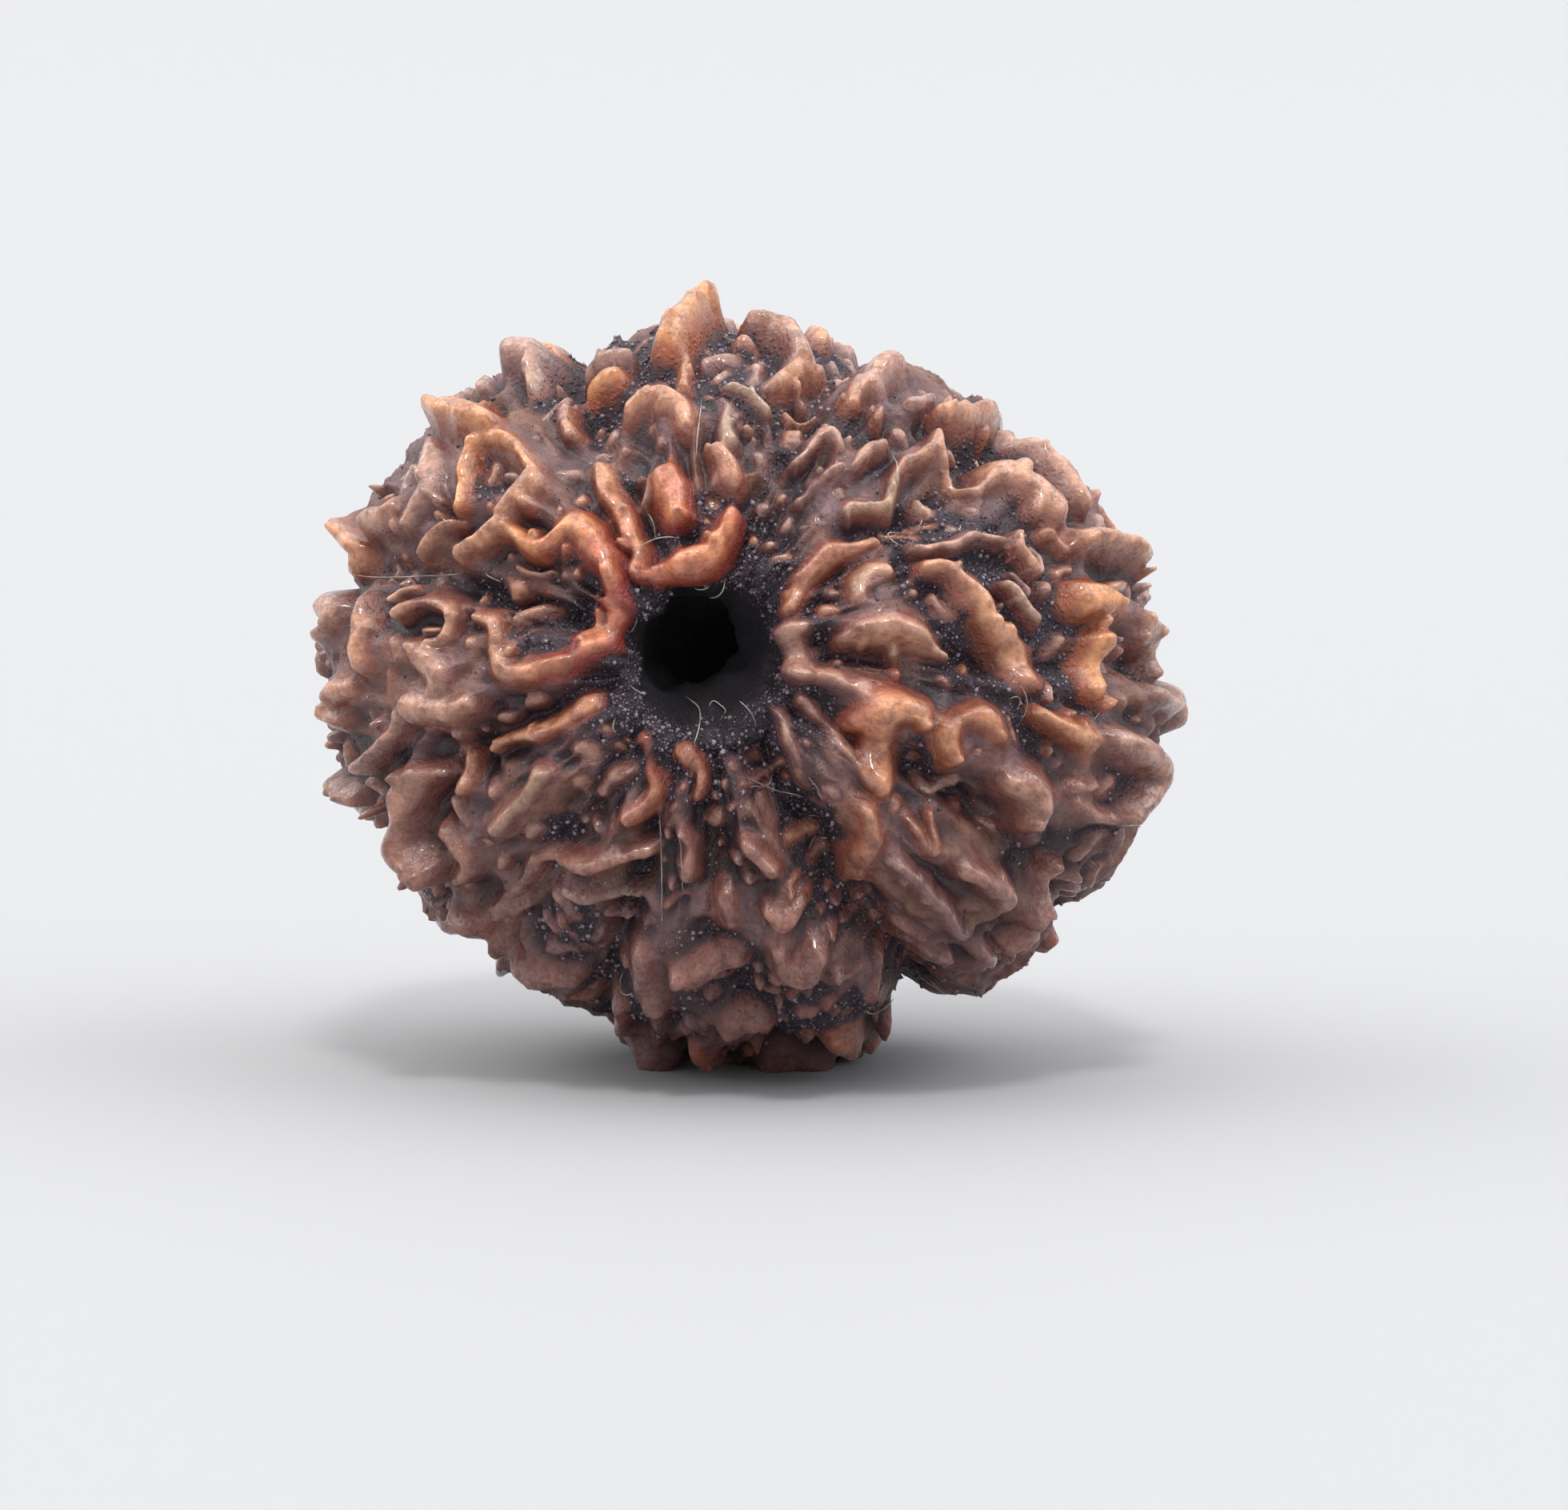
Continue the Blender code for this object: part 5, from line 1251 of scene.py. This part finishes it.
class Finish:
    """A material under construction: short calls that add a node and wire it up."""

    def __init__(self, name):
        """Starts a material under a name, with its shader still plain."""
        self.material = bpy.data.materials.new(name)
        self.material.use_nodes = True
        self.tree = self.material.node_tree
        self.shader = self.tree.nodes["Principled BSDF"]

    def add(self, kind, **settings):
        """Adds a node of a kind, with its settings."""
        node = self.tree.nodes.new(kind)
        for name, value in settings.items():
            setattr(node, name, value)
        return node

    def wire(self, source, target):
        """Leads what a node gives to a socket of another."""
        self.tree.links.new(source, target)

    def value(self, name):
        """Reads one of the numbers stored on the piece's points."""
        return self.add("ShaderNodeAttribute", attribute_name=name).outputs["Fac"]

    def place(self):
        """Object coordinates."""
        return self.add("ShaderNodeTexCoord").outputs["Object"]

    def height(self):
        """Height above the table."""
        node = self.add("ShaderNodeSeparateXYZ")
        self.wire(self.place(), node.inputs["Vector"])
        return node.outputs["Z"]

    def noise(self, size, detail=NOISE_DETAIL, roughness=NOISE_ROUGHNESS):
        """Noise with lumps of about size."""
        node = self.add("ShaderNodeTexNoise")
        self.wire(self.place(), node.inputs["Vector"])
        node.inputs["Scale"].default_value = 1 / size
        node.inputs["Detail"].default_value = detail
        node.inputs["Roughness"].default_value = roughness
        return node.outputs["Fac"]

    def cells(self, size):
        """The distance to the nearest cell's middle, and the cell's own random colour."""
        node = self.add("ShaderNodeTexVoronoi")
        self.wire(self.place(), node.inputs["Vector"])
        node.inputs["Scale"].default_value = 1 / size
        return node.outputs["Distance"], node.outputs["Color"]

    def span(self, source, low, high, to_low=0.0, to_high=1.0):
        """Stretches a value from one range to another, held at both ends, along an S."""
        node = self.add("ShaderNodeMapRange", interpolation_type="SMOOTHSTEP")
        self.wire(source, node.inputs["Value"])
        for socket, number in zip(("From Min", "From Max", "To Min", "To Max"), (low, high, to_low, to_high)):
            node.inputs[socket].default_value = number
        return node.outputs["Result"]

    def sum_up(self, operation, first, second):
        """One step of arithmetic on two values, either of them a plain number."""
        node = self.add("ShaderNodeMath", operation=operation)
        for socket, item in zip(node.inputs, (first, second)):
            if isinstance(item, (int, float)):
                socket.default_value = item
            else:
                self.wire(item, socket)
        return node.outputs["Value"]

    def mix(self, share, first, second, blend="MIX"):
        """Mixes two colours by a share, each a paint or a node's colour."""
        node = self.add("ShaderNodeMix", data_type="RGBA", blend_type=blend)
        if isinstance(share, (int, float)):
            node.inputs["Factor"].default_value = share
        else:
            self.wire(share, node.inputs["Factor"])
        for socket, item in zip(node.inputs[COLOUR_FIRST:COLOUR_LAST], (first, second)):
            if isinstance(item, tuple):
                socket.default_value = item
            else:
                self.wire(item, socket)
        return node.outputs[COLOUR_RESULT]

    def bump(self, height, depth, strength=1.0, under=None):
        """Fine relief from a value, on top of another bump if one is given."""
        node = self.add("ShaderNodeBump")
        self.wire(height, node.inputs["Height"])
        node.inputs["Distance"].default_value = depth
        node.inputs["Strength"].default_value = strength
        if under is not None:
            self.wire(under, node.inputs["Normal"])
        return node.outputs["Normal"]

    def times(self, first, second):
        """The product of two values."""
        return self.sum_up("MULTIPLY", first, second)

    def plus(self, first, second):
        """The sum of two values."""
        return self.sum_up("ADD", first, second)

    def set(self, **numbers):
        """Gives sockets of the shader a fixed value each, named with low lines for spaces."""
        for name, number in numbers.items():
            self.shader.inputs[name.replace("_", " ")].default_value = number


def stone_finish():
    """Woody stone: brown folded ground with dark, granular bare places, and crests from mauve to orange.

    Every span is named in WOOD_SPANS.
    """
    wood = Finish("rudraksha_wood")

    def turn(source, name):
        """A value stretched by the span of a name."""
        return wood.span(source, *WOOD_SPANS[name])

    crest, warmth, fold = wood.value("crest"), wood.value("warmth"), wood.value("fold")
    grain, bare_and_shade = wood.value("grain"), wood.value("bare_and_shade")
    red = wood.times(wood.value("red"), turn(warmth, "red_warmth"))
    broad = wood.noise(BLOTCH_SIZE, BLOTCH_DETAIL)
    streaks = wood.noise(STREAK_SIZE, STREAK_DETAIL, WOOD_ROUGHNESS)
    fine = wood.noise(PORE_SIZE, NOISE_DETAIL, WOOD_ROUGHNESS)
    sway = wood.times(wood.sum_up("SUBTRACT", streaks, 0.5), STREAK_SWAY)

    # Bare places are near black, with grains a little paler than the gaps between them, and pale dust
    dust = wood.mix(turn(grain, "bare_grain"), BARE_GAP, BARE_GRAIN)
    distance, colour = wood.cells(DUST_SIZE)
    dusty = wood.times(turn(distance, "dust_dot"), turn(colour, "dust_chosen"))
    dust = wood.mix(wood.times(dusty, DUST_SHARE), dust, DUST)

    # The rest of the ground is brown on its folds and dark in its gaps, with pale specks
    earth = wood.mix(turn(broad, "brown_blotch"), FOLD_MAUVE, FOLD_BROWN)
    earth = wood.mix(turn(wood.plus(fold, sway), "fold_top"), FOLD_GAP, earth)
    # The bare ground also holds painted shade in the places seen dark between the ridges
    ground = wood.mix(turn(bare_and_shade, "bare_ground"), earth, dust)
    speck_distance, speck_colour = wood.cells(SPECK_SIZE)
    specks = wood.times(turn(speck_distance, "speck_dot"), turn(speck_colour, "speck_chosen"))
    ground = wood.mix(wood.times(specks, turn(streaks, "speck_share")), ground, SPECK)

    # From the ground up a ridge: flank, then crest. Towards the foot crests keep their flank's darker colour,
    # a painted shade on the lower stone.
    flank = wood.mix(red, wood.mix(warmth, FLANK_MAUVE, FLANK_ORANGE), FLANK_RED)
    blotches = turn(broad, "red_blotch")
    top = wood.mix(wood.times(red, blotches), wood.mix(warmth, CREST_MAUVE, CREST_ORANGE), CREST_RED)
    top = wood.mix(turn(wood.noise(DULL_SIZE, NOISE_DETAIL), "dull_blotch"), top, flank)
    worn = wood.times(wood.value("pale"), turn(streaks, "pale_share"))
    top = wood.mix(worn, top, CREST_PALE)
    # Painted shade: the lower a crest stands, the more it keeps its flank's colour
    top = wood.mix(wood.span(wood.height(), *SHADED_CREST_HEIGHTS, SHADED_CREST_LEAST, 1.0), flank, top)
    uneven = wood.plus(crest, sway)
    body = wood.mix(turn(uneven, "flank_rise"), ground, flank)
    body = wood.mix(turn(uneven, "crest_rise"), body, top)
    body = wood.mix(turn(streaks, "streak_share"), body, STREAK, "MULTIPLY")
    # Deep in the bore the wood turns to a painted shade, near black
    body = wood.mix(wood.value("bore"), body, BORE_SHADE)
    wood.wire(body, wood.shader.inputs["Base Color"])

    # Crests are polished, with a thin broken gloss, and bare places and the bore are matt
    rough = wood.plus(turn(crest, "crest_polish"), turn(fine, "pore_roughness"))
    rough = wood.plus(rough, turn(bare_and_shade, "bare_roughness"))
    rough = wood.plus(rough, turn(wood.value("bore"), "bore_roughness"))
    wood.wire(rough, wood.shader.inputs["Roughness"])
    glints = wood.times(turn(crest, "gloss_crest"), turn(fine, "gloss_break"))
    wood.wire(glints, wood.shader.inputs["Coat Weight"])
    wood.set(IOR=WOOD_IOR, Specular_IOR_Level=0.4, Coat_Roughness=0.11)

    # Relief too fine for the mesh, from the finest up
    relief = wood.bump(fine, PORE_DEPTH)
    relief = wood.bump(wood.times(turn(distance, "pebble_dot"), bare_and_shade), PEBBLE_DEPTH, PEBBLE_STRENGTH, relief)
    relief = wood.bump(wood.times(specks, turn(crest, "speck_floor")), SPECK_DEPTH, PEBBLE_STRENGTH, relief)
    wood.wire(wood.bump(streaks, STREAK_DEPTH, 1.0, relief), wood.shader.inputs["Normal"])
    return wood.material


def grain_finish():
    """Dry grains, each its own grey, from near black to pale lilac."""
    grit = Finish("valley_grit")
    tone = grit.mix(grit.span(grit.value("shade"), *GRIT_PALE_SPAN), GRIT_DARK, GRIT_PALE)
    tone = grit.mix(grit.span(grit.noise(GRIT_SIZE), *GRIT_DARK_SPAN), tone, GRIT_DARK)
    grit.wire(tone, grit.shader.inputs["Base Color"])
    grit.set(Roughness=0.35, IOR=WOOD_IOR)
    return grit.material


def fibre_finish():
    """Dried flesh of the fruit drawn out in threads, from grey to pale straw."""
    straw = Finish("dry_fibre")
    tone = straw.mix(straw.span(straw.noise(STRAW_SIZE), *STRAW_SPAN), FIBRE_GREY, FIBRE_PALE)
    straw.wire(tone, straw.shader.inputs["Base Color"])
    straw.set(Roughness=0.45, IOR=WOOD_IOR)
    return straw.material


def table_finish():
    """Plain, pale, matt table top."""
    table = Finish("pale_table")
    table.set(Base_Color=TABLE, Roughness=0.8)
    return table.material


def table_and_backdrop():
    """A round table top that turns up into a gentle slope on all sides: one profile turned about Z."""
    bend = np.linspace(0, BACKDROP_SLOPE, BACKDROP_STEPS)
    radius = np.concatenate(((0, TABLE_INNER), TABLE_FLAT + BACKDROP_BEND * np.sin(bend), (BACKDROP_REACH,)))
    height = BACKDROP_BEND * (1 - np.cos(bend))
    last = height[-1] + (radius[-1] - radius[-2]) * math.tan(BACKDROP_SLOPE)
    height = np.concatenate(((0, 0), height, (last,)))
    turn = np.linspace(0, 2 * math.pi, BACKDROP_SIDES, endpoint=False)
    x, y = radius[:, None] * np.cos(turn), radius[:, None] * np.sin(turn)
    grid = np.stack(np.broadcast_arrays(x, y, height[:, None]), axis=-1)
    mesh = grid_mesh("table", grid, False, True)

    # The innermost ring lies in one place and becomes one point
    top = bmesh.new()
    top.from_mesh(mesh)
    bmesh.ops.remove_doubles(top, verts=top.verts, dist=WELD_DISTANCE)
    top.to_mesh(mesh)
    top.free()
    return mesh


def soft_light(name, place, spread, strength, colour):
    """A distant light that comes from the side of a place, spread over a wide angle of the sky."""
    light = bpy.data.lights.new(name, "SUN")
    light.angle = spread
    light.energy = strength
    light.color = colour
    thing = bpy.data.objects.new(name, light)
    thing.rotation_mode = "QUATERNION"
    thing.rotation_quaternion = (-Vector(place)).to_track_quat("-Z", "Y")
    bpy.context.scene.collection.objects.link(thing)


def put_camera():
    """The camera at the eye that the near ridges were drawn from."""
    right, up, forward = eye_axes()
    camera = bpy.data.objects.new("camera", bpy.data.cameras.new("camera"))
    camera.data.sensor_width = FILM_WIDTH
    camera.data.lens = FILM_WIDTH * PICTURE_FOCAL / PICTURE_WIDTH
    camera.data.clip_start, camera.data.clip_end = CAMERA_NEAR, CAMERA_FAR
    turn = Matrix(np.stack((right, up, -forward), axis=1).tolist()).to_4x4()
    camera.matrix_world = Matrix.Translation(Vector(eye_place().tolist())) @ turn
    bpy.context.scene.collection.objects.link(camera)
    bpy.context.scene.camera = camera


def read_points(mesh):
    """The mesh's points and unit normals as arrays."""
    points = np.empty(len(mesh.vertices) * 3, np.float32)
    normals = np.empty(len(mesh.vertices) * 3, np.float32)
    mesh.vertices.foreach_get("co", points)
    mesh.vertex_normals.foreach_get("vector", normals)
    return points.reshape(-1, 3).astype(float), normals.reshape(-1, 3).astype(float)


def read_value(mesh, name):
    """One of the numbers stored on the mesh's points, as an array."""
    numbers = np.empty(len(mesh.vertices), np.float32)
    mesh.attributes[name].data.foreach_get("value", numbers)
    return numbers.astype(float)


def main():
    """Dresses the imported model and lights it."""
    node, = frame["nodes"]

    grid, looks = fine_stone()
    rough = grid_mesh("stone", grid, True, True)
    give_values(rough, looks)
    mesh = thinned(rough, FINE_TRIANGLES)
    points, normals = read_points(mesh)
    looks = {name: read_value(mesh, name) for name in looks}
    stone = show("fine_stone", mesh, stone_finish())
    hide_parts(node)

    grains = show("valley_grains", loose_grains(points, normals, looks), grain_finish())
    paths = seen_fibres(points, normals) + short_fibres(points, normals, looks)
    fibres = show("dry_fibres", tubes("dry_fibres", paths, FIBRE_RADIUS), fibre_finish())
    for piece in (stone, grains, fibres):
        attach(piece, "root")

    show("table", table_and_backdrop(), table_finish())
    put_camera()
    for light in LIGHTS:
        soft_light(*light)
    world = bpy.data.worlds.new("daylight")
    world.use_nodes = True
    sky = world.node_tree.nodes["Background"].inputs
    sky["Color"].default_value = (*SKY_COLOUR, 1)
    sky["Strength"].default_value = SKY_STRENGTH
    bpy.context.scene.world = world
    bpy.context.scene.view_settings.view_transform = "Standard"


main()
